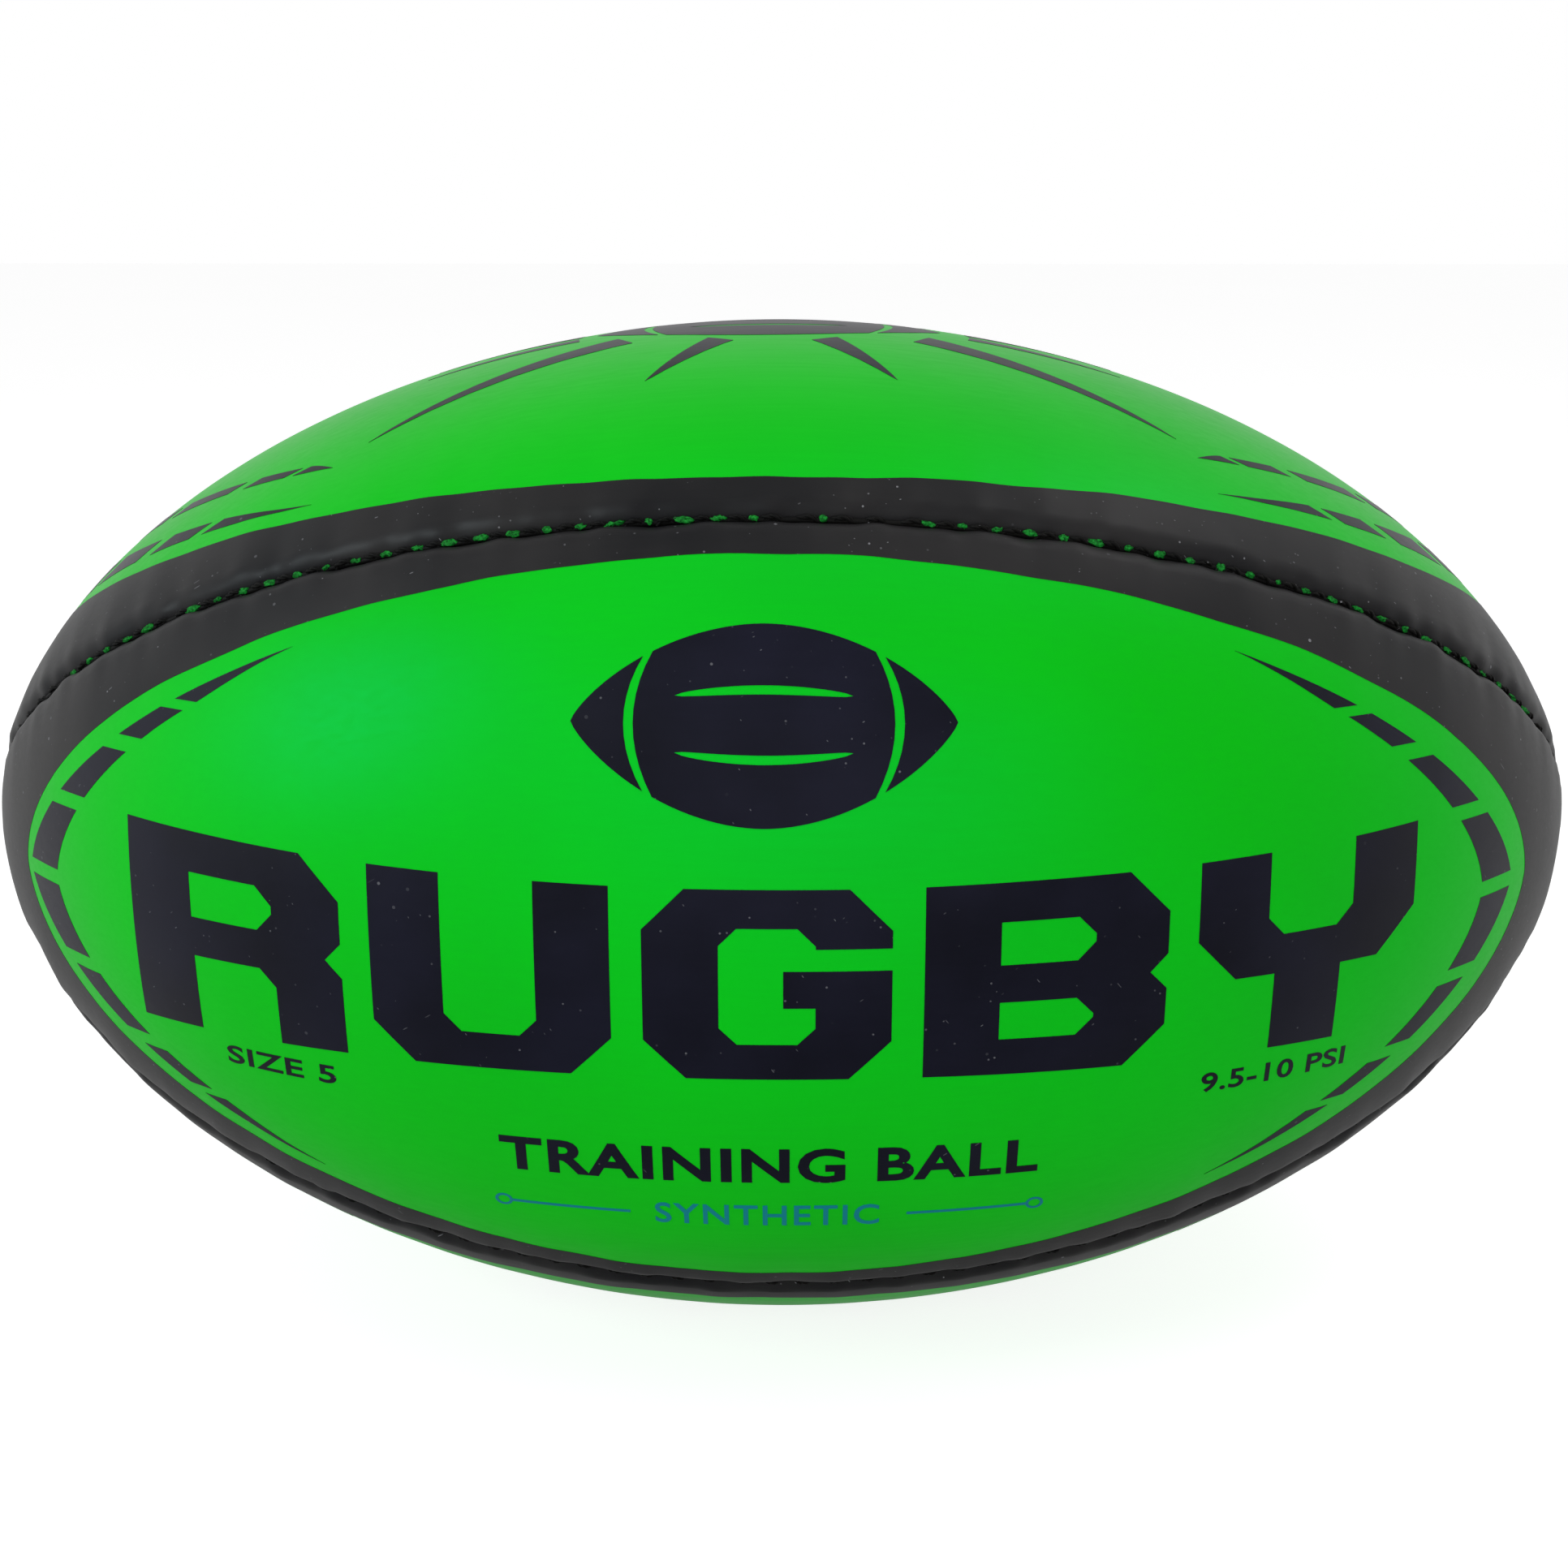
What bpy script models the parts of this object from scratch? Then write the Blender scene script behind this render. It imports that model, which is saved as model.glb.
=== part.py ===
"""Size 5 rugby ball: four stitched panels with bonded backings, seam threads, a bladder and a needle valve.

The ball lies along X with its centre at the origin. Angles about X start at the middle of the front panel (-Y)
and grow towards the top (+Z), so the panels are centred on quarter turns and the seams lie half way between.
A station is an angle along the length: -90 degrees at the left tip, 0 in the middle, 90 at the right tip.
"""

import math

import bmesh
import bpy
from mathutils import Vector

MM = 0.001

# Outline of the ball
HALF_LENGTH = 147.5 * MM
GREATEST_RADIUS = 92.9 * MM
LENGTH_POWER = 1.97
TIP_POWER = 0.548
SEAM_RIDGE = 0.0186  # share of the radius that a seam stands proud, and a panel's middle lies low

# Wall, from the outside in
TOUCHING_GAP = 0.3 * MM
SKIN_THICKNESS = 1.3 * MM
BACKING_THICKNESS = 0.9 * MM
BACKING_START = SKIN_THICKNESS + TOUCHING_GAP
BLADDER_THICKNESS = 1.0 * MM
BLADDER_LOW = 6.0 * MM  # depth of the bladder's outside under a panel's middle
BLADDER_DIP = 3.0 * MM  # how much deeper it passes under the turned-in edges at a seam
BLADDER_DIP_POWER = 8

# Turned-in edges of a panel
SEAM_ANGLE = math.radians(45)
FOLD_RADIUS = 2.9 * MM
FOLD_SHARE = 0.42  # most that the fold may take of the ball's radius near a tip
FLANGE_DEPTH = 5.0 * MM
FLANGE_SHARE = 0.48
TIP_RADIUS = 3.5 * MM
BACKING_END_RADIUS = 8.0 * MM

# Seam thread and the knots that close the tips
THREAD_RADIUS = 0.5 * MM
THREAD_DEPTH = 0.75 * MM
KNOT_RADIUS = 3.0 * MM
KNOT_HALF_LENGTH = 2.2 * MM
KNOT_PROUD = 0.4 * MM

# Needle valve, on the back panel above its middle; heights run outwards from the ball's surface
VALVE_ANGLE = math.radians(156)
SKIN_HOLE_RADIUS = 8.0 * MM
COLLAR_OUTER_RADIUS = 7.7 * MM
COLLAR_INNER_RADIUS = 5.3 * MM
COLLAR_TOP = 0.2 * MM
COLLAR_BOTTOM = -1.6 * MM
COLLAR_ROUND = 0.5 * MM
NECK_HOLE_RADIUS = 5.4 * MM
HOUSING_RADIUS = 5.0 * MM
HOUSING_BORE_RADIUS = 3.3 * MM
HOUSING_LIP_RADIUS = 2.0 * MM
HOUSING_TOP = -0.1 * MM
HOUSING_BOTTOM = -20.0 * MM
HOUSING_LIP = 1.2 * MM
HOUSING_FLANGE_RADIUS = 16.0 * MM
HOUSING_FLANGE_TOP = -3.8 * MM
HOUSING_FLANGE_THICKNESS = 1.0 * MM
DISC_SLOPE = 1.3 * MM  # how far a disc's rim falls, so that it lies along the round wall
PATCH_RADIUS = 14.0 * MM
PATCH_TOP = -8.2 * MM
PATCH_THICKNESS = 0.9 * MM
PLUG_RADIUS = 3.0 * MM
PLUG_TOP = 0.1 * MM
PLUG_BOTTOM = -18.2 * MM
PLUG_ROUND = 0.4 * MM
NEEDLE_RADIUS = 0.9 * MM
NEEDLE_DEPTH = 12.0 * MM

# Mesh density
HALF_STEPS = 8
ARC_STEPS = 8
FOLD_STEPS = 2
BLADDER_SEGMENTS = 24
BLADDER_RINGS = 14
TURNED_STEPS = 24
KNOT_SEGMENTS = 12
KNOT_RINGS = 6
NORMAL_STEP = 0.001
MERGE_DISTANCE = 0.00001

PANELS = ("front", "top", "back", "bottom")
GREEN = (0.0, 0.5, 0.004, 1.0)
CLOTH = (0.62, 0.58, 0.5, 1.0)
THREAD_BLACK = (0.02, 0.02, 0.02, 1.0)
BUTYL = (0.03, 0.03, 0.032, 1.0)
LATEX = (0.55, 0.33, 0.12, 1.0)


def make_material(name, colour, roughness):
    """A Principled material of one colour."""
    material = bpy.data.materials.new(name)
    material.use_nodes = True
    shader = material.node_tree.nodes["Principled BSDF"]
    shader.inputs["Base Color"].default_value = colour
    shader.inputs["Roughness"].default_value = roughness
    shader.inputs["Metallic"].default_value = 0.0
    return material


def add_object(name, data, collection, material=None):
    """Links an object holding the data, with its own material."""
    obj = bpy.data.objects.new(name, data)
    collection.objects.link(obj)
    if material:
        obj.data.materials.clear()
        obj.data.materials.append(material)
    return obj


def outline_radius(station):
    """Radius of the round ball at a station."""
    return GREATEST_RADIUS * (1 - abs(math.sin(station)) ** LENGTH_POWER) ** TIP_POWER


def station_at(radius):
    """Station towards the right tip where the ball has this radius."""
    share = 1 - (radius / GREATEST_RADIUS) ** (1 / TIP_POWER)
    return math.asin(share ** (1 / LENGTH_POWER))


def ball_point(station, angle):
    """Point of the ball's surface, a little proud at the seams and low in the middle of each panel."""
    radius = outline_radius(station) * (1 - SEAM_RIDGE * math.cos(4 * angle))
    return Vector((HALF_LENGTH * math.sin(station), -radius * math.cos(angle), radius * math.sin(angle)))


def ball_normal(station, angle):
    """Outward normal of the ball's surface."""
    last = math.pi / 2 - 2 * NORMAL_STEP
    station = max(-last, min(last, station))
    along = ball_point(station + NORMAL_STEP, angle) - ball_point(station - NORMAL_STEP, angle)
    around = ball_point(station, angle + NORMAL_STEP) - ball_point(station, angle - NORMAL_STEP)
    return along.cross(around).normalized()


def panel_stations(with_tips):
    """Stations of a panel's rows, the same for skins, backings and threads so that they lie parallel."""
    last = station_at(BACKING_END_RADIUS)
    rows = [last * step / HALF_STEPS for step in range(-HALF_STEPS, HALF_STEPS + 1)]
    if with_tips:
        tip = station_at(TIP_RADIUS)
        rows = [-tip, *rows, tip]
    return rows


def folded_edge(station, depth):
    """Upper edge of the front panel at a depth in its wall, from the surface round the fold to the flange's end."""
    radius = outline_radius(station)
    fold = min(FOLD_RADIUS, FOLD_SHARE * radius)
    flange = min(FLANGE_DEPTH, FLANGE_SHARE * radius)
    seam = ball_point(station, SEAM_ANGLE)
    outward = ball_normal(station, SEAM_ANGLE)
    aside = Vector((0, -math.sin(SEAM_ANGLE), -math.cos(SEAM_ANGLE)))
    points = []
    for step in range(FOLD_STEPS + 1):
        turn = math.pi / 2 * step / FOLD_STEPS
        from_seam = TOUCHING_GAP / 2 + fold - (fold - depth) * math.sin(turn)
        down = fold - (fold - depth) * math.cos(turn)
        points.append(seam + aside * from_seam - outward * down)
    points.append(seam + aside * (TOUCHING_GAP / 2 + depth) - outward * flange)
    return points


def panel_section(station, depth):
    """Points across the front panel at one station, from its lower flange to its upper one."""
    upper = folded_edge(station, depth)
    lower = [Vector((point.x, point.y, -point.z)) for point in reversed(upper)]
    edge = math.atan2(upper[0].z, -upper[0].y)
    middle = []
    for step in range(1, ARC_STEPS):
        angle = edge * (2 * step / ARC_STEPS - 1)
        middle.append(ball_point(station, angle) - ball_normal(station, angle) * depth)
    return lower + middle + upper


def panel_mesh(name, depth, with_tips):
    """Open sheet of the front panel at a depth in its wall, its edges turned in, from a flat grid."""
    sections = [panel_section(station, depth) for station in panel_stations(with_tips)]
    rows = len(sections) - 1
    columns = len(sections[0]) - 1
    sheet = bmesh.new()
    bmesh.ops.create_grid(sheet, x_segments=rows, y_segments=columns, size=1)
    for vertex in sheet.verts:
        row = round((vertex.co.x + 1) / 2 * rows)
        column = round((vertex.co.y + 1) / 2 * columns)
        vertex.co = sections[row][column]
    for face in sheet.faces:
        face.smooth = True
    mesh = bpy.data.meshes.new(name)
    sheet.to_mesh(mesh)
    sheet.free()
    return mesh


def add_solidify(obj, thickness):
    """Gives a sheet its wall, inwards from the outer face."""
    solidify = obj.modifiers.new("wall", "SOLIDIFY")
    solidify.thickness = thickness
    solidify.offset = -1
    solidify.use_even_offset = True


def add_cut(obj, cutter):
    """Cuts the cutter out of the object."""
    cut = obj.modifiers.new("hole", "BOOLEAN")
    cut.operation = "DIFFERENCE"
    cut.object = cutter


def build_panels(collection, kind, depth, thickness, with_tips, material_of):
    """Four copies of a panel's layer, each turned about X to its place."""
    mesh = panel_mesh(kind, depth, with_tips)
    panels = {}
    for quarter, side in enumerate(PANELS):
        panel = add_object(f"{kind}_{side}", mesh.copy(), collection, material_of(side))
        panel.rotation_euler = (-math.pi / 2 * quarter, 0, 0)
        add_solidify(panel, thickness)
        panels[side] = panel
    return panels


def build_threads(collection):
    """One waxed thread in the groove of each seam, as a tube that follows the seam."""
    for quarter, side in enumerate(PANELS):
        next_side = PANELS[(quarter + 1) % len(PANELS)]
        angle = SEAM_ANGLE + math.pi / 2 * quarter
        name = f"seam_thread_{side}_{next_side}"
        curve = bpy.data.curves.new(name, "CURVE")
        curve.dimensions = "3D"
        curve.bevel_depth = THREAD_RADIUS
        curve.bevel_resolution = 1
        curve.use_fill_caps = True
        stations = panel_stations(with_tips=False)
        spline = curve.splines.new("POLY")
        spline.points.add(len(stations) - 1)
        for point, station in zip(spline.points, stations):
            place = ball_point(station, angle) - ball_normal(station, angle) * THREAD_DEPTH
            point.co = (*place, 1)
        add_object(name, curve, collection, make_material(name, THREAD_BLACK, 0.6))


def build_knots(collection):
    """The tied thread ends that fill the small hole where the four panel points meet."""
    for side, sign in (("left", -1), ("right", 1)):
        name = f"tip_knot_{side}"
        knot = bmesh.new()
        bmesh.ops.create_uvsphere(knot, u_segments=KNOT_SEGMENTS, v_segments=KNOT_RINGS, radius=1)
        for vertex in knot.verts:
            along, up = vertex.co.z, vertex.co.x
            vertex.co = (KNOT_HALF_LENGTH * along, KNOT_RADIUS * vertex.co.y, -KNOT_RADIUS * up)
        for face in knot.faces:
            face.smooth = True
        mesh = bpy.data.meshes.new(name)
        knot.to_mesh(mesh)
        knot.free()
        obj = add_object(name, mesh, collection, make_material(name, THREAD_BLACK, 0.6))
        obj.location = (sign * (HALF_LENGTH + KNOT_PROUD - KNOT_HALF_LENGTH), 0, 0)


def build_bladder(collection, cutter):
    """Air-tight bladder that dips under the turned-in seam edges, open where the valve passes through."""
    ball = bmesh.new()
    bmesh.ops.create_uvsphere(ball, u_segments=BLADDER_SEGMENTS, v_segments=BLADDER_RINGS, radius=1)
    for vertex in ball.verts:
        station = math.asin(max(-1, min(1, vertex.co.z)))
        angle = math.atan2(vertex.co.y, -vertex.co.x)
        dip = BLADDER_DIP * abs(math.sin(2 * angle)) ** BLADDER_DIP_POWER
        depth = BLADDER_LOW + dip * math.cos(station)
        vertex.co = ball_point(station, angle) - ball_normal(station, angle) * depth
    for face in ball.faces:
        face.smooth = True
    bmesh.ops.recalc_face_normals(ball, faces=ball.faces)
    mesh = bpy.data.meshes.new("bladder")
    ball.to_mesh(mesh)
    ball.free()
    bladder = add_object("bladder", mesh, collection, make_material("bladder", BUTYL, 0.45))
    add_solidify(bladder, BLADDER_THICKNESS)
    add_cut(bladder, cutter)


def add_turned(name, profile, collection, parent, material, closed):
    """Turns a profile of (radius, height) points about the parent's Z axis, outer side first, from the top down."""
    mesh = bpy.data.meshes.new(name)
    count = len(profile)
    edges = [(index, index + 1) for index in range(count - 1)]
    if closed:
        edges.append((count - 1, 0))
    mesh.from_pydata([(radius, 0, height) for radius, height in profile], edges, [])
    obj = add_object(name, mesh, collection, material)
    obj.parent = parent
    screw = obj.modifiers.new("turn", "SCREW")
    screw.axis = "Z"
    screw.angle = 2 * math.pi
    screw.steps = TURNED_STEPS
    screw.render_steps = TURNED_STEPS
    screw.use_merge_vertices = True
    screw.merge_threshold = MERGE_DISTANCE
    return obj


def build_valve(collection, axis):
    """Collar, housing, plug and patch about the valve's axis; the plug pulls out along it."""
    collar = [
        (COLLAR_OUTER_RADIUS - COLLAR_ROUND, COLLAR_TOP),
        (COLLAR_OUTER_RADIUS, COLLAR_TOP - COLLAR_ROUND),
        (COLLAR_OUTER_RADIUS, COLLAR_BOTTOM),
        (COLLAR_INNER_RADIUS, COLLAR_BOTTOM),
        (COLLAR_INNER_RADIUS, COLLAR_TOP),
    ]
    add_turned("valve_collar", collar, collection, axis, make_material("valve_collar", BUTYL, 0.5), closed=True)

    rim_top = HOUSING_FLANGE_TOP - DISC_SLOPE
    housing = [
        (HOUSING_RADIUS, HOUSING_TOP),
        (HOUSING_RADIUS, HOUSING_FLANGE_TOP),
        (HOUSING_FLANGE_RADIUS, rim_top),
        (HOUSING_FLANGE_RADIUS, rim_top - HOUSING_FLANGE_THICKNESS / 2),
        (HOUSING_RADIUS, HOUSING_FLANGE_TOP - HOUSING_FLANGE_THICKNESS),
        (HOUSING_RADIUS, HOUSING_BOTTOM),
        (HOUSING_LIP_RADIUS, HOUSING_BOTTOM),
        (HOUSING_LIP_RADIUS, HOUSING_BOTTOM + HOUSING_LIP),
        (HOUSING_BORE_RADIUS, HOUSING_BOTTOM + HOUSING_LIP),
        (HOUSING_BORE_RADIUS, HOUSING_TOP),
    ]
    add_turned("valve_housing", housing, collection, axis, make_material("valve_housing", BUTYL, 0.5), closed=True)

    patch = [
        (NECK_HOLE_RADIUS, PATCH_TOP),
        (PATCH_RADIUS, PATCH_TOP - DISC_SLOPE),
        (PATCH_RADIUS, PATCH_TOP - DISC_SLOPE - PATCH_THICKNESS / 2),
        (NECK_HOLE_RADIUS, PATCH_TOP - PATCH_THICKNESS),
    ]
    add_turned("valve_patch", patch, collection, axis, make_material("valve_patch", CLOTH, 0.8), closed=True)

    plug = [
        (NEEDLE_RADIUS, PLUG_TOP),
        (PLUG_RADIUS - PLUG_ROUND, PLUG_TOP),
        (PLUG_RADIUS, PLUG_TOP - PLUG_ROUND),
        (PLUG_RADIUS, PLUG_BOTTOM + PLUG_RADIUS / 2),
        (PLUG_RADIUS / 2, PLUG_BOTTOM),
        (0, PLUG_BOTTOM),
    ]
    channel = [(0, PLUG_TOP - NEEDLE_DEPTH), (NEEDLE_RADIUS, PLUG_TOP - NEEDLE_DEPTH + NEEDLE_RADIUS)]
    profile = channel + plug
    add_turned("valve_plug", profile, collection, axis, make_material("valve_plug", LATEX, 0.4), closed=False)


def add_cutter(name, radius, collection, axis):
    """Cylinder along the valve's axis that opens a layer for the valve."""
    cylinder = bmesh.new()
    length = 2 * abs(HOUSING_BOTTOM)
    bmesh.ops.create_cone(
        cylinder, cap_ends=True, segments=TURNED_STEPS, radius1=radius, radius2=radius, depth=length
    )
    mesh = bpy.data.meshes.new(name)
    cylinder.to_mesh(mesh)
    cylinder.free()
    cutter = add_object(name, mesh, collection)
    cutter.parent = axis
    cutter.hide_render = True
    cutter.display_type = "WIRE"
    return cutter


def panel_material(side):
    """The printed cover of one panel."""
    return make_material(f"panel_{side}", GREEN, 0.42)


def backing_material(side):
    """The bonded cloth behind one panel."""
    return make_material(f"backing_{side}", CLOTH, 0.9)


def main():
    for old in list(bpy.data.objects):
        bpy.data.objects.remove(old, do_unlink=True)
    ball = bpy.data.collections.new("rugby_ball")
    cutters = bpy.data.collections.new("cutters")
    bpy.context.scene.collection.children.link(ball)
    bpy.context.scene.collection.children.link(cutters)

    valve_axis = bpy.data.objects.new("valve_axis", None)
    ball.objects.link(valve_axis)
    valve_axis.location = ball_point(0, VALVE_ANGLE)
    valve_axis.rotation_euler = ball_normal(0, VALVE_ANGLE).to_track_quat("Z", "Y").to_euler()
    skin_cutter = add_cutter("skin_hole", SKIN_HOLE_RADIUS, cutters, valve_axis)
    neck_cutter = add_cutter("neck_hole", NECK_HOLE_RADIUS, cutters, valve_axis)

    skins = build_panels(ball, "panel", 0, SKIN_THICKNESS, True, panel_material)
    backings = build_panels(ball, "backing", BACKING_START, BACKING_THICKNESS, False, backing_material)
    add_cut(skins["back"], skin_cutter)
    add_cut(backings["back"], neck_cutter)
    build_threads(ball)
    build_knots(ball)
    build_bladder(ball, neck_cutter)
    build_valve(ball, valve_axis)


main()
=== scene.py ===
"""Looks of a size 5 rugby ball: four printed panels, stitched seams, tip knots and a needle valve.

Lengths are in metres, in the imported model's own frame: the ball lies along X with its centre at the origin.
Angles about X start at the middle of the front panel (-Y) and grow towards the top (+Z). A station is an
angle along the ball, -90 degrees at the left tip and 90 at the right one. The prints are drawn flat, with x
along the ball and v across a panel, measured along the curve from the panel's middle line.
"""

import logging
import math
from dataclasses import dataclass, field
from enum import Enum

import bmesh
import bpy
import numpy as np
from mathutils import Matrix, Vector

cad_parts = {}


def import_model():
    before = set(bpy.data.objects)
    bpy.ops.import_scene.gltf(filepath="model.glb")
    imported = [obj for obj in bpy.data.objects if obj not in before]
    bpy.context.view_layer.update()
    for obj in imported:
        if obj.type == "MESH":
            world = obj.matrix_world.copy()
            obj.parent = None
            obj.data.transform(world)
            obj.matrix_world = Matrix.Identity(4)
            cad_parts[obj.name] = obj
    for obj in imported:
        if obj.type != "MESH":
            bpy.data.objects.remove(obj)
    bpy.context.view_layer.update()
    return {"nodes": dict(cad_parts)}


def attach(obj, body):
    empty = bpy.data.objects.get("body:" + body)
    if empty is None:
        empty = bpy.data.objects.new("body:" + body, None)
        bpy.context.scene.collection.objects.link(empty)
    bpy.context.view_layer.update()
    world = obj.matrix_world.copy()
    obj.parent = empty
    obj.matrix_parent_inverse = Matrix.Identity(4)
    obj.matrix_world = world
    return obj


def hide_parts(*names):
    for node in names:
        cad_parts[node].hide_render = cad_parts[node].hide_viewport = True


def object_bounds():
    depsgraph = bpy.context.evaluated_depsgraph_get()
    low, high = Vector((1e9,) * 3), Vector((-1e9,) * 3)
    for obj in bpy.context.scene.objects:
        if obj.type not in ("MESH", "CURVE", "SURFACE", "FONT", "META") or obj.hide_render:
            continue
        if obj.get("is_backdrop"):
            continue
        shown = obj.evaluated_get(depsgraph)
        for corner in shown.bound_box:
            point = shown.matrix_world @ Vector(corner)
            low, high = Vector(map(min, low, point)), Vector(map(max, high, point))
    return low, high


LOG = logging.getLogger("rugby_ball")
MM = 0.001
QUARTER_TURN = math.pi / 2
SEAM_ANGLE = math.pi / 4
WELD_DISTANCE = 1e-7
SLIVER = 0.002 * MM
QUAD = 4
RIM_SHARPNESS = math.radians(50)
TURNED_SHARPNESS = math.radians(40)
NOISE_WAVES = 6
NOISE_SPREAD = (0.55, 1.7)
NOISE_CREST = 1.3
PANEL_SEED, LIP_SEED, PRINT_SEED, KNOT_SEED, STITCH_SEED, FLECK_SEED = 0, 20, 60, 50, 11, 31

Points = list[tuple[float, float]]
Offsets = tuple[tuple[float, float], ...]


class Side(Enum):
    """A panel, by the number of quarter turns about X from the front panel to it."""

    FRONT = 0
    TOP = 1
    BACK = 2
    BOTTOM = 3

    @property
    def word(self) -> str:
        """The panel's name in lower case."""
        return self.name.lower()

    @property
    def next(self) -> "Side":
        """The panel beyond this one's upper seam."""
        return Side((self.value + 1) % len(Side))


# ---------------------------------------------------------------------------------------------------------
# Node helpers
# ---------------------------------------------------------------------------------------------------------


class TreeBuilder:
    """Adds nodes and links to one node tree."""

    def __init__(self, tree: bpy.types.NodeTree) -> None:
        """Keeps the tree that is being built."""
        self.tree = tree

    def add(self, kind: str, inputs: dict | None = None, **settings: object) -> bpy.types.Node:
        """Adds a node.

        Args:
            kind: The node's type name.
            inputs: Values or source sockets, by the name or the index of the node's input.
            **settings: The node's own properties.

        Returns:
            The new node.
        """
        node = self.tree.nodes.new(kind)
        for name, value in settings.items():
            setattr(node, name, value)
        for key, value in (inputs or {}).items():
            if isinstance(value, bpy.types.NodeSocket):
                self.tree.links.new(value, node.inputs[key])
            else:
                node.inputs[key].default_value = value
        return node

    def math(self, operation: str, *values: object) -> bpy.types.NodeSocket:
        """Adds a Math node on one or two values and returns its result."""
        return self.add("ShaderNodeMath", dict(enumerate(values)), operation=operation).outputs[0]

    def span(self, value: bpy.types.NodeSocket, low: float, high: float) -> bpy.types.NodeSocket:
        """Maps a value from between low and high to between 0 and 1, clamped."""
        return self.add("ShaderNodeMapRange", {"Value": value, "From Min": low, "From Max": high}).outputs[0]

    def mix(self, factor: object, first: object, second: object) -> bpy.types.NodeSocket:
        """Mixes two colours and returns the result."""
        node = self.add("ShaderNodeMix", {0: factor, 6: first, 7: second}, data_type="RGBA")
        return node.outputs[2]


def new_group(name: str, kind: str, inputs: dict[str, tuple[str, object]], output: tuple[str, str]) -> tuple:
    """Starts a node group with named inputs and one output.

    Args:
        name: The group's name.
        kind: The tree's type name.
        inputs: Kind of socket and default value or None, by the input's name.
        output: The output's name and kind of socket.

    Returns:
        The group, its builder, its input node and its output node.
    """
    group = bpy.data.node_groups.new(name, kind)
    for label, (socket_kind, value) in inputs.items():
        socket = group.interface.new_socket(label, in_out="INPUT", socket_type=f"NodeSocket{socket_kind}")
        if value is not None:
            socket.default_value = value
    group.interface.new_socket(output[0], in_out="OUTPUT", socket_type=f"NodeSocket{output[1]}")
    build = TreeBuilder(group)
    return group, build, build.add("NodeGroupInput"), build.add("NodeGroupOutput")


# ---------------------------------------------------------------------------------------------------------
# Mesh helpers
# ---------------------------------------------------------------------------------------------------------


def smooth_noise(place: np.ndarray, length: float, seed: int) -> np.ndarray:
    """Adds up a few sine waves of about one length.

    Args:
        place: Distances along a line.
        length: Typical length of a wave.
        seed: Seed of the waves' lengths and phases.

    Returns:
        The sum at each place, mostly between -1 and 1.
    """
    random = np.random.default_rng(seed)
    total = np.zeros_like(place)
    for _ in range(NOISE_WAVES):
        wave = length * random.uniform(*NOISE_SPREAD)
        total += np.sin(2 * math.pi * place / wave + random.uniform(0, 2 * math.pi))
    return total / NOISE_WAVES**0.5 / NOISE_CREST


def mesh_of(name: str, points: np.ndarray, faces: list) -> bpy.types.Mesh:
    """Makes a smooth-shaded mesh.

    Args:
        name: The mesh's name.
        points: Its points, in an array of any shape that ends in coordinates.
        faces: Its faces, as tuples of point numbers.

    Returns:
        The mesh.
    """
    mesh = bpy.data.meshes.new(name)
    mesh.from_pydata(np.asarray(points).reshape(-1, 3).tolist(), [], faces)
    mesh.shade_smooth()
    return mesh


def grid_faces(rows: int, columns: int, start: int = 0) -> list[tuple[int, int, int, int]]:
    """Joins a grid of points, stored row by row, with quads.

    Args:
        rows: Number of rows.
        columns: Number of points in each row.
        start: Number of the grid's first point.

    Returns:
        The quads, facing the way that turns rows into columns.
    """
    corner = np.arange((rows - 1) * columns).reshape(rows - 1, columns)[:, :-1].ravel() + start
    quads = np.stack([corner, corner + columns, corner + columns + 1, corner + 1], axis=1)
    return [tuple(quad) for quad in quads.tolist()]


def weld(mesh: bpy.types.Mesh, sliver: float = 0.0) -> None:
    """Merges a mesh's doubled points and, if asked, removes its slivers.

    Args:
        mesh: The mesh, which is changed.
        sliver: Faces thinner than this are removed; 0 leaves them all.
    """
    work = bmesh.new()
    work.from_mesh(mesh)
    bmesh.ops.remove_doubles(work, verts=work.verts, dist=WELD_DISTANCE)
    if sliver:
        bmesh.ops.dissolve_degenerate(work, edges=work.edges, dist=sliver)
        bmesh.ops.triangulate(work, faces=[face for face in work.faces if len(face.verts) > QUAD])
    work.to_mesh(mesh)
    work.free()


def add_piece(name: str, mesh: bpy.types.Mesh, material: bpy.types.Material) -> bpy.types.Object:
    """Links a piece that rides on the ball.

    Args:
        name: The piece's name.
        mesh: Its mesh, in the ball's place.
        material: Its finish.

    Returns:
        The piece.
    """
    piece = bpy.data.objects.new(name, mesh)
    bpy.context.scene.collection.objects.link(piece)
    mesh.materials.clear()
    mesh.materials.append(material)
    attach(piece, "ball")
    return piece


def freeze(obj: bpy.types.Object) -> None:
    """Makes an object's evaluated shape its plain mesh and removes its modifiers.

    Args:
        obj: The object.
    """
    bpy.context.view_layer.update()
    graph = bpy.context.evaluated_depsgraph_get()
    mesh = bpy.data.meshes.new_from_object(obj.evaluated_get(graph))
    obj.modifiers.clear()
    obj.data = mesh


def add_wall(piece: bpy.types.Object, thickness: float) -> None:
    """Gives a sheet its thickness, inwards from the outer face, and keeps its rim crisp.

    Args:
        piece: The sheet.
        thickness: The wall's thickness.
    """
    solidify = piece.modifiers.new("wall", "SOLIDIFY")
    solidify.thickness = thickness
    solidify.offset = -1
    freeze(piece)
    piece.data.set_sharp_from_angle(angle=RIM_SHARPNESS)


def arc(centre: tuple[float, float], radius: float, start: float, end: float, steps: int) -> Points:
    """Points of an arc in a plane, from one angle in degrees to another."""
    angles = [math.radians(start + (end - start) * step / steps) for step in range(steps + 1)]
    return [(centre[0] + radius * math.cos(a), centre[1] + radius * math.sin(a)) for a in angles]


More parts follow.
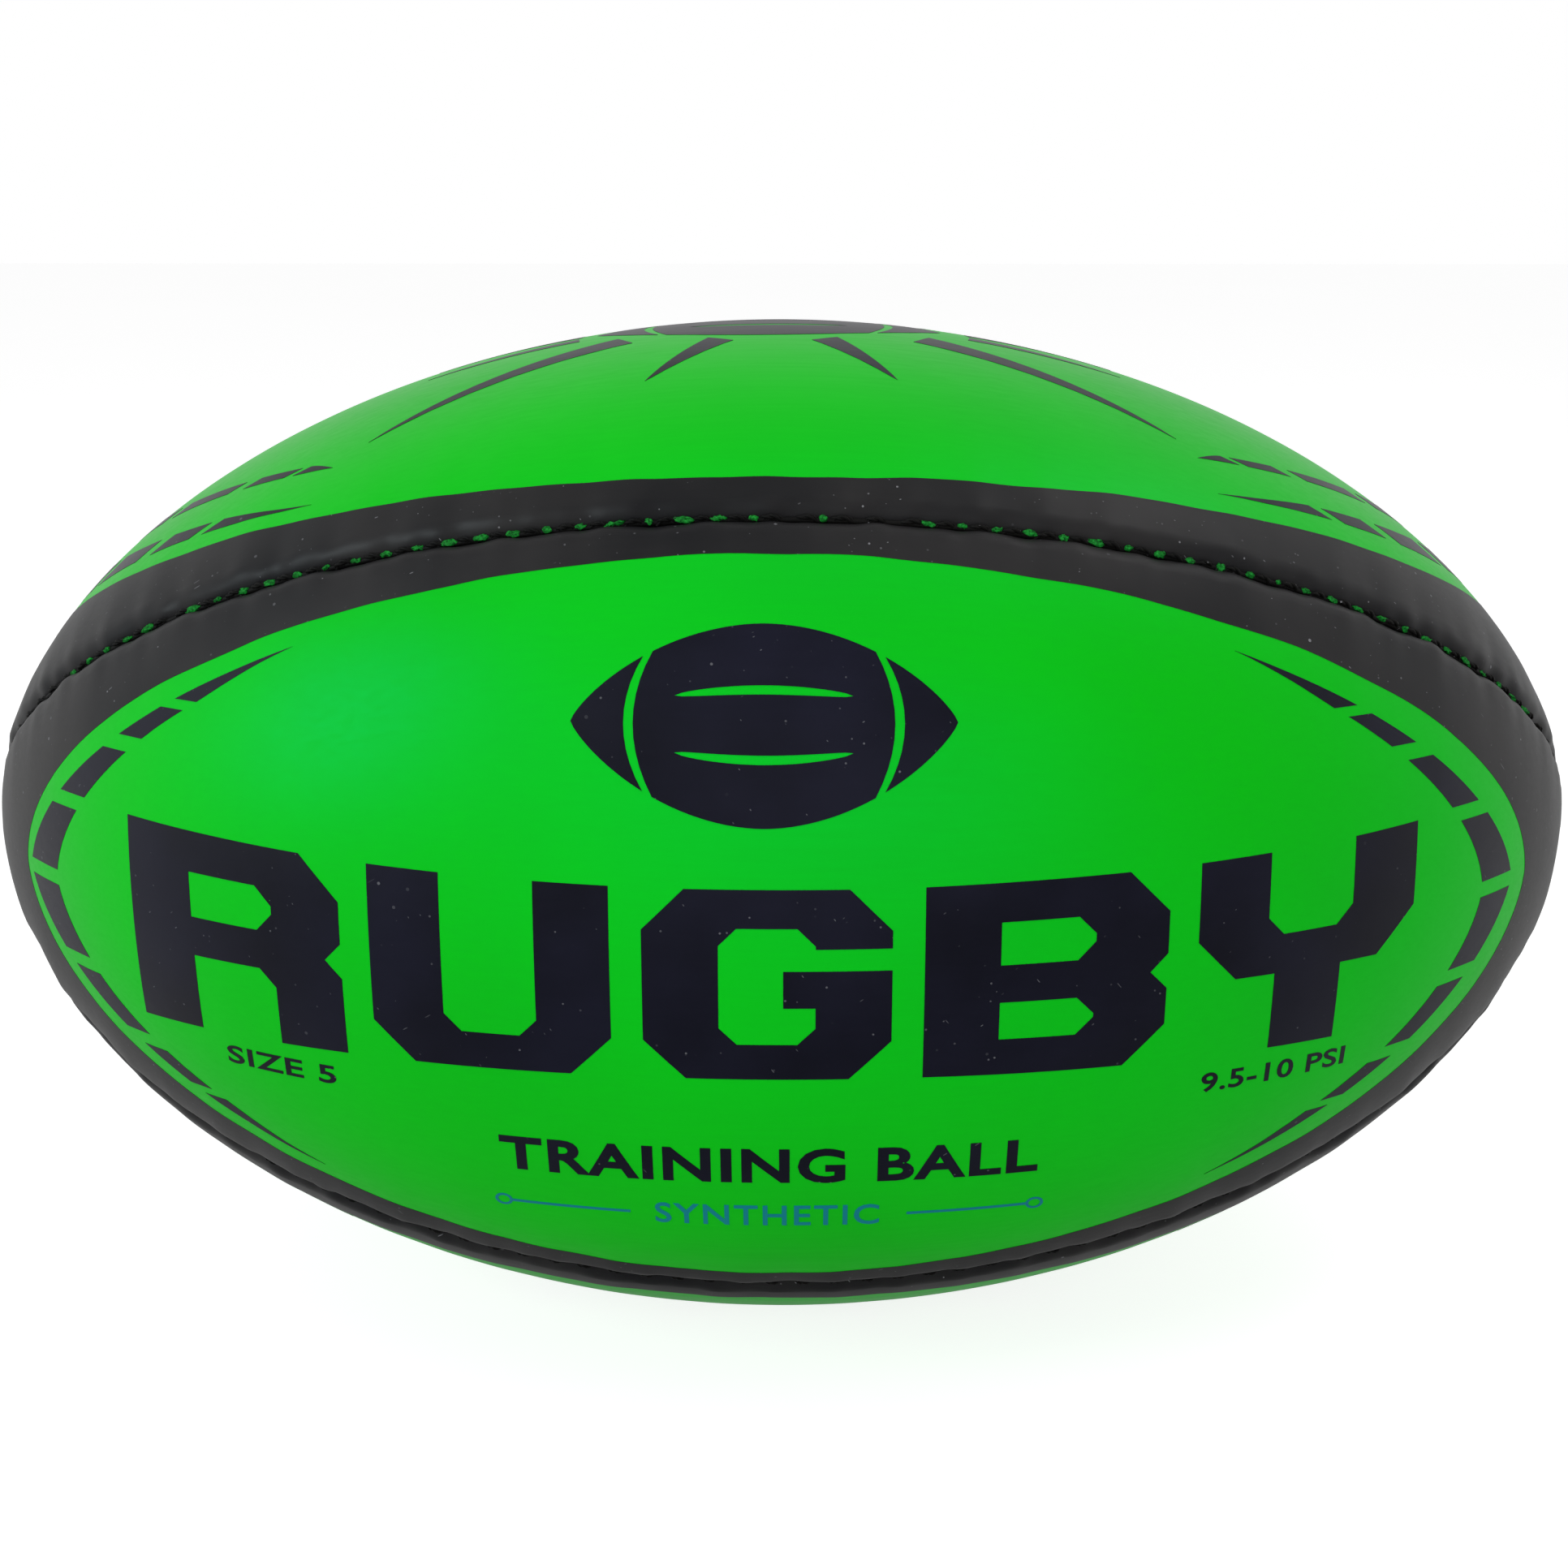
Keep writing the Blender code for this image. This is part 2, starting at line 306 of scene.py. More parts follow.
def turned_mesh(name: str, profile: Points, axis: Matrix, closed: bool, steps: int) -> bpy.types.Mesh:
    """Turns a profile of (radius, height) points about an axis.

    Args:
        name: The mesh's name.
        profile: Points of the profile; a closed one ends where it starts, an open one ends on the axis.
        axis: Matrix that takes local Z to the axis and the origin to its foot.
        closed: Whether the last point joins the first.
        steps: Number of points in each ring.

    Returns:
        A closed mesh with its faces outwards.
    """
    work = bmesh.new()
    ends = [work.verts.new((radius, 0, height)) for radius, height in profile]
    pairs = list(zip(ends, ends[1:]))
    if closed:
        pairs.append((ends[-1], ends[0]))
    edges = [work.edges.new(pair) for pair in pairs]
    bmesh.ops.spin(
        work, geom=[*ends, *edges], cent=(0, 0, 0), axis=(0, 0, 1), angle=2 * math.pi, steps=steps,
        use_merge=True,
    )
    bmesh.ops.remove_doubles(work, verts=work.verts, dist=WELD_DISTANCE)
    bmesh.ops.recalc_face_normals(work, faces=work.faces)
    work.transform(axis)
    mesh = bpy.data.meshes.new(name)
    work.to_mesh(mesh)
    work.free()
    mesh.shade_smooth()
    mesh.set_sharp_from_angle(angle=TURNED_SHARPNESS)
    return mesh


# ---------------------------------------------------------------------------------------------------------
# Finishes
# ---------------------------------------------------------------------------------------------------------


class Effects:
    """Shader groups that several finishes share."""

    def __init__(self) -> None:
        """Builds each group once."""
        self.streaks = self._streaks()
        self.specks = self._specks()
        self.blotches = self._blotches()
        self.weave = self._weave()

    def _streaks(self) -> bpy.types.NodeTree:
        """Draws fine parallel streaks, as calendered rubber has, long in one direction.

        Returns:
            The group.
        """
        group, build, start, end = new_group(
            "Fine streaks", "ShaderNodeTree",
            {"Cells": ("Vector", (60, 900, 900)), "Detail": ("Float", 3.0)}, ("Value", "Float"),
        )
        place = build.add("ShaderNodeTexCoord").outputs["Object"]
        cells = build.add("ShaderNodeMapping", {"Vector": place, "Scale": start.outputs["Cells"]})
        noise = build.add(
            "ShaderNodeTexNoise",
            {"Vector": cells.outputs[0], "Scale": 1.0, "Detail": start.outputs["Detail"], "Roughness": 0.6},
        )
        build.tree.links.new(noise.outputs[0], end.inputs["Value"])
        return group

    def _specks(self) -> bpy.types.NodeTree:
        """Scatters specks, or short hairs where the cells are longer one way than the other.

        Returns:
            The group.
        """
        group, build, start, end = new_group(
            "Specks and hairs", "ShaderNodeTree",
            {
                "Cells": ("Vector", (300, 300, 300)), "Turn": ("Vector", (0, 0, 0)),
                "Size": ("Float", 0.2), "Share": ("Float", 0.05),
            },
            ("Mask", "Float"),
        )
        place = build.add("ShaderNodeTexCoord").outputs["Object"]
        turned = build.add("ShaderNodeMapping", {"Vector": place, "Rotation": start.outputs["Turn"]})
        cells = build.add("ShaderNodeMapping", {"Vector": turned.outputs[0], "Scale": start.outputs["Cells"]})
        spots = build.add("ShaderNodeTexVoronoi", {"Vector": cells.outputs[0], "Scale": 1.0})
        near = build.math("LESS_THAN", spots.outputs["Distance"], start.outputs["Size"])
        chance = build.add("ShaderNodeSeparateColor", {"Color": spots.outputs["Color"]})
        chosen = build.math("LESS_THAN", chance.outputs[0], start.outputs["Share"])
        strength = build.math("MULTIPLY", chosen, build.math("MULTIPLY", near, chance.outputs[1]))
        build.tree.links.new(strength, end.inputs["Mask"])
        return group

    def _blotches(self) -> bpy.types.NodeTree:
        """Draws a slow cloudy change over the surface.

        Returns:
            The group.
        """
        group, build, start, end = new_group(
            "Blotches", "ShaderNodeTree",
            {"Scale": ("Float", 20.0), "Low": ("Float", 0.35), "High": ("Float", 0.65)}, ("Value", "Float"),
        )
        place = build.add("ShaderNodeTexCoord").outputs["Object"]
        noise = build.add(
            "ShaderNodeTexNoise", {"Vector": place, "Scale": start.outputs["Scale"], "Detail": 3.0}
        )
        cloudy = build.add(
            "ShaderNodeMapRange",
            {"Value": noise.outputs[0], "From Min": start.outputs["Low"], "From Max": start.outputs["High"]},
        )
        build.tree.links.new(cloudy.outputs[0], end.inputs["Value"])
        return group

    def _weave(self) -> bpy.types.NodeTree:
        """Crosses two sets of yarns in a plain weave.

        Returns:
            The group.
        """
        group, build, start, end = new_group(
            "Plain weave", "ShaderNodeTree", {"Scale": ("Float", 900.0)}, ("Height", "Float")
        )
        place = build.add("ShaderNodeTexCoord").outputs["Object"]
        axes = build.add("ShaderNodeSeparateXYZ", {"Vector": place})
        across = build.math("ADD", axes.outputs["Y"], axes.outputs["Z"])
        waves = []
        for value in (axes.outputs["X"], across):
            turn = build.math("MULTIPLY", value, start.outputs["Scale"])
            waves.append(build.math("SINE", build.math("MULTIPLY", turn, math.pi)))
        height = build.math("ABSOLUTE", build.math("MULTIPLY", waves[0], waves[1]))
        build.tree.links.new(height, end.inputs["Height"])
        return group


@dataclass(frozen=True)
class Finish:
    """One surface: a plastic, rubber, thread or cloth, with its colour change, dust and fine relief; on
    cloth, the low gaps of the weave also get painted shade.
    """

    name: str
    colour: tuple[float, float, float]
    second_colour: tuple[float, float, float]
    roughness: float
    specular: float = 0.5
    specular_tint: tuple[float, float, float] = (1.0, 1.0, 1.0)
    streak_cells: tuple[float, float, float] = (60.0, 900.0, 900.0)
    streak_colour: float = 0.25
    streak_roughness: float = 0.08
    streak_height: float = 0.01 * MM
    blotch_scale: float = 18.0
    blotch_height: float = 0.0
    dust: float = 0.0
    dust_colour: tuple[float, float, float] = (0.42, 0.42, 0.45)
    dust_roughness: float = 0.4
    weave_scale: float = 0.0
    weave_height: float = 0.12 * MM
    sheen: float = 0.0

    def material(self, effects: Effects) -> bpy.types.Material:
        """Builds the node material.

        Args:
            effects: The shared shader groups.

        Returns:
            The finished material.
        """
        material = bpy.data.materials.new(self.name)
        material.use_nodes = True
        material.diffuse_color = (*self.colour, 1)
        build = TreeBuilder(material.node_tree)
        shader = material.node_tree.nodes["Principled BSDF"]
        shader.inputs["Specular IOR Level"].default_value = self.specular
        shader.inputs["Specular Tint"].default_value = (*self.specular_tint, 1)
        shader.inputs["Sheen Weight"].default_value = self.sheen

        streaks = self._use(build, effects.streaks, Cells=self.streak_cells)
        cloudy = self._use(build, effects.blotches, Scale=self.blotch_scale)
        share = build.math("ADD", cloudy, build.math("MULTIPLY", streaks, self.streak_colour))
        mixed = build.math("MULTIPLY", share, 1 / (1 + self.streak_colour))
        colour = build.mix(mixed, (*self.colour, 1), (*self.second_colour, 1))
        rough = build.math("MULTIPLY_ADD", streaks, self.streak_roughness, self.roughness)
        relief = build.math("MULTIPLY", streaks, self.streak_height)
        cloud_relief = build.math("MULTIPLY", cloudy, self.blotch_height)
        relief = build.math("ADD", relief, cloud_relief)
        if self.dust:
            mask = self._dust_mask(build, effects)
            colour = build.mix(mask, colour, (*self.dust_colour, 1))
            rough = build.math("MULTIPLY_ADD", mask, self.dust_roughness, rough)
        if self.weave_scale:
            yarns = self._use(build, effects.weave, Scale=self.weave_scale)
            # Painted shade: where the weave is low, between the yarns, the colour turns to the darker second
            # colour.
            colour = build.mix(yarns, (*self.second_colour, 1), colour)
            relief = build.math("MULTIPLY_ADD", yarns, self.weave_height, relief)
        bump = build.add("ShaderNodeBump", {"Height": relief, "Distance": 1.0, "Strength": 1.0})
        links = material.node_tree.links
        links.new(colour, shader.inputs["Base Color"])
        links.new(rough, shader.inputs["Roughness"])
        links.new(bump.outputs[0], shader.inputs["Normal"])
        return material

    def _use(self, build: TreeBuilder, group: bpy.types.NodeTree, **values: object) -> bpy.types.NodeSocket:
        """Places a shared group with its own values and returns its first output."""
        return build.add("ShaderNodeGroup", values, node_tree=group).outputs[0]

    def _dust_mask(self, build: TreeBuilder, effects: Effects) -> bpy.types.NodeSocket:
        """Puts fine specks, larger crumbs and short hairs in two directions together.

        Args:
            build: Builder of the material's tree.
            effects: The shared shader groups.

        Returns:
            The mask, up to the dust's strength.
        """
        kinds = [
            ((1100, 1100, 1100), (0, 0, 0), 0.20, 0.035),
            ((420, 420, 420), (0, 0, 0), 0.12, 0.05),
            ((230, 2300, 2300), (0.3, 0.5, 0.35), 0.2, 0.014),
            ((210, 2500, 2500), (0.9, -0.4, -0.9), 0.2, 0.014),
        ]
        total = None
        for cells, turn, size, share in kinds:
            mask = self._use(build, effects.specks, Cells=cells, Turn=turn, Size=size, Share=share)
            total = mask if total is None else build.math("MAXIMUM", total, mask)
        return build.math("MULTIPLY", total, self.dust)


class Palette:
    """Every material of the ball."""

    def __init__(self) -> None:
        """Builds the finishes, one material each."""
        effects = Effects()
        self.cover = Finish(
            "Green cover", (0.004, 0.62, 0.0005), (0.005, 0.52, 0.001), 0.35, specular=0.33,
            specular_tint=(0.0, 0.75, 1.0), streak_cells=(45.0, 1100.0, 1100.0), streak_colour=0.9,
            streak_roughness=0.16, blotch_scale=14.0, blotch_height=0.02 * MM,
        ).material(effects)
        self.band = Finish(
            "Black edge print", (0.011, 0.011, 0.0125), (0.025, 0.0235, 0.024), 0.42, specular=0.3,
            blotch_scale=32.0, blotch_height=0.05 * MM, dust=0.45,
        ).material(effects)
        self.ink = Finish(
            "Black print", (0.006, 0.006, 0.012), (0.010, 0.010, 0.022), 0.36, specular=0.28,
            blotch_scale=40.0, blotch_height=0.02 * MM, dust=0.25,
        ).material(effects)
        self.teal = Finish(
            "Teal print", (0.0, 0.21, 0.29), (0.0, 0.25, 0.30), 0.38, specular=0.3,
        ).material(effects)
        self.thread = Finish(
            "Waxed black thread", (0.003, 0.003, 0.003), (0.009, 0.0085, 0.008), 0.55, specular=0.2,
            streak_cells=(1400.0, 1400.0, 1400.0), streak_height=0.05 * MM, dust=0.35,
        ).material(effects)
        self.fleck = Finish(
            "Raw green edge", (0.0, 0.05, 0.006), (0.012, 0.34, 0.035), 0.6, specular=0.2,
            streak_cells=(3000.0, 3000.0, 3000.0), streak_height=0.1 * MM, blotch_scale=2200.0,
        ).material(effects)
        self.backing = Finish(
            "Cotton laminate", (0.62, 0.58, 0.50), (0.40, 0.37, 0.31), 0.85, weave_scale=700.0, sheen=0.2,
        ).material(effects)
        self.butyl = Finish(
            "Black butyl", (0.02, 0.02, 0.021), (0.03, 0.03, 0.031), 0.48, blotch_scale=60.0,
            blotch_height=0.03 * MM, dust=0.3,
        ).material(effects)
        self.plug = Finish(
            "Amber latex", (0.52, 0.30, 0.10), (0.44, 0.24, 0.07), 0.42, blotch_scale=300.0,
        ).material(effects)
        self.floor = Finish(
            "Pale studio floor", (0.55, 0.55, 0.55), (0.54, 0.54, 0.54), 0.9, specular=0.0, blotch_scale=3.0,
        ).material(effects)


# ---------------------------------------------------------------------------------------------------------
# Shape of the ball
# ---------------------------------------------------------------------------------------------------------


@dataclass(frozen=True)
class BallShape:
    """Outer surface of the ball, the same formula as the solids have."""

    half_length: float = 147.5 * MM
    greatest_radius: float = 92.9 * MM
    length_power: float = 1.97
    tip_power: float = 0.548
    seam_ridge: float = 0.0186
    step: float = 0.001

    def station(self, x: np.ndarray) -> np.ndarray:
        """Station of a place along the ball."""
        return np.arcsin(np.clip(x / self.half_length, -1, 1))

    def radius(self, station: np.ndarray) -> np.ndarray:
        """Radius of the round ball at a station."""
        share = np.clip(1 - np.abs(np.sin(station)) ** self.length_power, 0, 1)
        return self.greatest_radius * share**self.tip_power

    def station_at(self, radius: float) -> float:
        """Station towards the right tip where the ball has this radius."""
        share = 1 - (radius / self.greatest_radius) ** (1 / self.tip_power)
        return math.asin(share ** (1 / self.length_power))

    def point(self, station: np.ndarray, angle: np.ndarray) -> np.ndarray:
        """Finds points of the surface, proud at the seams and low in the middle of each panel.

        Args:
            station: Stations of the points.
            angle: Their angles about X.

        Returns:
            An array of points.
        """
        radius = self.radius(station) * (1 - self.seam_ridge * np.cos(4 * angle))
        along = self.half_length * np.sin(station) + 0 * radius
        return np.stack([along, -radius * np.cos(angle), radius * np.sin(angle)], axis=-1)

    def normal(self, station: np.ndarray, angle: np.ndarray) -> np.ndarray:
        """Finds the surface's outward normals.

        Args:
            station: Stations of the points.
            angle: Their angles about X.

        Returns:
            An array of unit vectors.
        """
        last = QUARTER_TURN - 2 * self.step
        station = np.clip(station, -last, last)
        along = self.point(station + self.step, angle) - self.point(station - self.step, angle)
        around = self.point(station, angle + self.step) - self.point(station, angle - self.step)
        cross = np.cross(along, around)
        return cross / np.linalg.norm(cross, axis=-1, keepdims=True)

    def angle_across(self, station: np.ndarray, across: np.ndarray) -> np.ndarray:
        """Angle from a panel's middle line at a distance across it, measured along the curve."""
        turn = across / self.radius(station)
        return turn + self.seam_ridge / 4 * np.sin(4 * turn)


@dataclass
class Relief:
    """Small unevenness of a cover: a dimple at each stitch, and ripples where the seam pulls on it."""

    shape: BallShape
    pitch: float = 5.4 * MM
    dimple: float = 0.26 * MM
    dimple_reach: float = 2.6 * MM
    ripple: float = 0.30 * MM
    ripple_reach: float = 7.0 * MM
    ripple_length: float = 17.0 * MM
    table_steps: int = 2000
    table_end: float = 1.0 * MM
    stations: np.ndarray = field(init=False)
    lengths: np.ndarray = field(init=False)

    def __post_init__(self) -> None:
        """Tables the distance along a seam against the station."""
        last = self.shape.station_at(self.table_end)
        self.stations = np.linspace(-last, last, self.table_steps)
        seam = self.shape.point(self.stations, np.full(self.table_steps, SEAM_ANGLE))
        steps = np.linalg.norm(np.diff(seam, axis=0), axis=1)
        self.lengths = np.concatenate([[0], np.cumsum(steps)])

    def seam_length(self, station: np.ndarray) -> np.ndarray:
        """Distance along a seam from the left tip."""
        return np.interp(station, self.stations, self.lengths)

    def station_of(self, length: np.ndarray) -> np.ndarray:
        """Station at a distance along a seam from the left tip."""
        return np.interp(length, self.lengths, self.stations)

    def height(self, side: Side, station: np.ndarray, angle: np.ndarray) -> np.ndarray:
        """Finds how far a panel's surface stands off the plain shape, mostly inwards beside a seam.

        Args:
            side: The panel, whose ripples are its own.
            station: Stations of the points.
            angle: Angles from the panel's middle line.

        Returns:
            Heights, negative where the surface is low.
        """
        length = self.seam_length(station)
        gap = (SEAM_ANGLE - np.abs(angle)) * self.shape.radius(station)
        stitch = np.sin(math.pi * length / self.pitch) ** 2
        dimple = -self.dimple * stitch * np.exp(-np.maximum(gap, 0) / self.dimple_reach)
        first = PANEL_SEED + 2 * side.value
        upper, lower = (smooth_noise(length, self.ripple_length, first + part) for part in (0, 1))
        ripple = np.where(angle > 0, upper, lower) * self.ripple
        fade = np.exp(-np.maximum(gap, 0) / self.ripple_reach)
        return dimple + (ripple - self.ripple / 2) * fade


@dataclass(frozen=True)
class FieldOutline:
    """Edge of the green field on a panel, where the black band begins."""

    half_length: float = 131.8 * MM
    half_width: float = 65.7 * MM
    length_power: float = 1.85
    width_power: float = 0.59
    shift: float = -1.0 * MM
    wobble: float = 0.16 * MM
    wobble_length: float = 24.0 * MM
    wobble_fade: float = 8.0 * MM

    def printed(self, x: np.ndarray, seed: int) -> np.ndarray:
        """Half width as the printer leaves it, wandering a little from the true line.

        Args:
            x: Places along the ball.
            seed: Seed of the line's wandering.

        Returns:
            Half widths of the field.
        """
        true = self.across(x)
        wander = smooth_noise(x, self.wobble_length, seed) * self.wobble
        return true + wander * np.clip(true / self.wobble_fade, 0, 1)

    def across(self, x: np.ndarray) -> np.ndarray:
        """Half width of the field at a place along the ball, 0 beyond its ends."""
        share = np.clip(1 - np.abs((x - self.shift) / self.half_length) ** self.length_power, 0, 1)
        return self.half_width * share**self.width_power

    def along(self, across: float) -> float:
        """Half length of the field at a distance across the panel."""
        share = (abs(across) / self.half_width) ** (1 / self.width_power)
        return self.half_length * (1 - share) ** (1 / self.length_power)


@dataclass
class PanelCover:
    """The stitched covers: a green skin with turned-in edges, and the black print on its border."""

    shape: BallShape
    relief: Relief
    outline: FieldOutline
    palette: Palette
    gap: float = 0.3 * MM
    skin_thickness: float = 1.3 * MM
    fold_radius: float = 2.9 * MM
    fold_share: float = 0.42
    fold_tightness: float = 0.86
    flange_depth: float = 5.0 * MM
    flange_share: float = 0.48
    tip_radius: float = 3.5 * MM
    row_spacing: float = 0.85 * MM
    half_columns: int = 22
    edge_crowding: float = 1.5
    band_columns: int = 9
    point_turns: tuple[float, float] = (60, 90)
    point_rows: int = 40
    station_digits: int = 7
    fold_steps: int = 6
    lip_wave: float = 0.28 * MM
    lip_length: float = 11.0 * MM
    ink_height: float = 0.05 * MM
    ink_thickness: float = 0.08 * MM

    def surface(self, side: Side, station: np.ndarray, angle: np.ndarray, raised: float = 0) -> np.ndarray:
        """Points of a panel's outer face, in the panel's place.

        Args:
            side: The panel.
            station: Stations of the points.
            angle: Angles from the panel's middle line.
            raised: Height above the face.

        Returns:
            An array of points.
        """
        height = self.relief.height(side, station, angle) + raised
        turned = angle + QUARTER_TURN * side.value
        return self.shape.point(station, turned) + self.shape.normal(station, turned) * height[..., None]

    def fold_start(self, station: np.ndarray) -> np.ndarray:
        """Finds where a panel's edge starts to turn in.

        Args:
            station: Stations of the rows.

        Returns:
            Angles from the panel's middle line.
        """
        radius = self.shape.radius(station)
        fold = np.minimum(self.fold_radius, self.fold_share * radius)
        return SEAM_ANGLE - (self.gap / 2 + fold) / (radius * (1 + self.shape.seam_ridge))

    def fold_columns(self, side: Side, station: np.ndarray, upper: bool, raised: float) -> np.ndarray:
        """Columns of points from just past the fold's start, round the fold and down the flange.

        Args:
            side: The panel.
            station: One station for each row.
            upper: Whether this is the panel's upper edge or its lower one.
            raised: Height above the face.

        Returns:
            An array of rows, columns and coordinates.
        """
        sign = 1 if upper else -1
        radius = self.shape.radius(station)
        fold = np.minimum(self.fold_radius, self.fold_share * radius)
        flange = np.minimum(self.flange_depth, self.flange_share * radius)
        seam = SEAM_ANGLE * sign + QUARTER_TURN * side.value
        outward = self.shape.normal(station, np.full_like(station, seam))
        length = self.relief.seam_length(station)
        wave = smooth_noise(length, self.lip_length, LIP_SEED + 2 * side.value + upper) * self.lip_wave
        fade = np.clip(fold / self.fold_radius, 0, 1)
        columns = []
        for step in range(1, self.fold_steps + 1):
            turn = QUARTER_TURN * step / self.fold_steps
            aside = fold * (1 - math.sin(turn) ** self.fold_tightness) - raised * math.sin(turn)
            down = fold * (1 - math.cos(turn) ** self.fold_tightness)
            lip = (wave * fade + self.lip_wave * fade) * math.sin(turn) * math.cos(turn) * 2
            angle = sign * (SEAM_ANGLE - (self.gap / 2 + aside) / (radius * (1 + self.shape.seam_ridge)))
            base = self.surface(side, station, angle, raised * math.cos(turn))
            columns.append(base - outward * (down + lip)[:, None])
        columns.append(columns[-1] - outward * (flange - fold)[:, None])
        return np.stack(columns, axis=1)

    def rows(self) -> np.ndarray:
        """Spaces the rows evenly along a seam from tip to tip.

        Returns:
            Their stations.
        """
        tip = self.shape.station_at(self.tip_radius)
        ends = self.relief.seam_length(np.array([-tip, tip]))
        count = round((ends[1] - ends[0]) / self.row_spacing)
        return self.relief.station_of(np.linspace(ends[0], ends[1], count + 1))

    def band_rows(self) -> np.ndarray:
        """Adds close rows at the green field's two points to the even ones, for the black border.

        Returns:
            Their stations.
        """
        turns = np.radians(np.linspace(*self.point_turns, self.point_rows))
        near = self.outline.half_length * np.sin(turns)
        extra = self.shape.station(np.concatenate([self.outline.shift + near, self.outline.shift - near]))
        return np.unique(np.round(np.concatenate([self.rows(), extra]), self.station_digits))

    def skin_mesh(self, side: Side) -> bpy.types.Mesh:
        """Lays out one panel's outer face, from lower flange to upper flange.

        Args:
            side: The panel.

        Returns:
            An open mesh.
        """
        stations = self.rows()
        shares = np.linspace(-1, 1, 2 * self.half_columns + 1)
        shares = np.sign(shares) * (1 - (1 - np.abs(shares)) ** self.edge_crowding)
        angle = self.fold_start(stations)[:, None] * shares[None, :]
        middle = self.surface(side, np.broadcast_to(stations[:, None], angle.shape), angle)
        upper = self.fold_columns(side, stations, True, 0)
        lower = self.fold_columns(side, stations, False, 0)[:, ::-1]
        points = np.concatenate([lower, middle, upper], axis=1)
        return mesh_of(f"panel_{side.word}", points, grid_faces(*points.shape[:2]))

    def band_mesh(self, side: Side) -> bpy.types.Mesh:
        """Lays out the black print round one panel: two strips that meet beyond the field's points.

        Args:
            side: The panel.

        Returns:
            An open mesh.
        """
        stations = self.band_rows()
        x = self.shape.half_length * np.sin(stations)
        outer = self.fold_start(stations)
        shares = np.linspace(0, 1, self.band_columns)[None, :]
        strips = []
        for upper in (True, False):
            edge = self.outline.printed(x, PRINT_SEED + 2 * side.value + upper)
            inner = self.shape.angle_across(stations, edge)
            angle = (inner[:, None] + (outer - inner)[:, None] * shares) * (1 if upper else -1)
            spread = np.broadcast_to(stations[:, None], angle.shape)
            face = self.surface(side, spread, angle, self.ink_height)
            fold = self.fold_columns(side, stations, upper, self.ink_height)
            strip = np.concatenate([face, fold], axis=1)
            strips.append(strip if upper else strip[:, ::-1])
        rows, columns = strips[0].shape[:2]
        faces = grid_faces(rows, columns) + grid_faces(rows, columns, rows * columns)
        points = np.concatenate([strip.reshape(-1, 3) for strip in strips])
        mesh = mesh_of(f"edge_print_{side.word}", points, faces)
        weld(mesh)
        return mesh

    def build(self, side: Side) -> bpy.types.Object:
        """Builds one panel's skin and border print.

        Args:
            side: The panel.

        Returns:
            The skin.
        """
        skin = add_piece(f"cover_{side.word}", self.skin_mesh(side), self.palette.cover)
        add_wall(skin, self.skin_thickness)
        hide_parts(f"panel_{side.word}")
        band = add_piece(f"edge_print_{side.word}", self.band_mesh(side), self.palette.band)
        add_wall(band, self.ink_thickness)
        LOG.info("panel %s: skin and edge print", side.word)
        return skin


# ---------------------------------------------------------------------------------------------------------
# Prints on the panels
# ---------------------------------------------------------------------------------------------------------


@dataclass(frozen=True)
class SmallLine:
    """One line of small lettering: its words, the size of its capitals and of the line, and its middle."""

    text: str
    height: float
    width: float
    place: tuple[float, float]
    boldness: float = 0.018
    spacing: float = 1.05


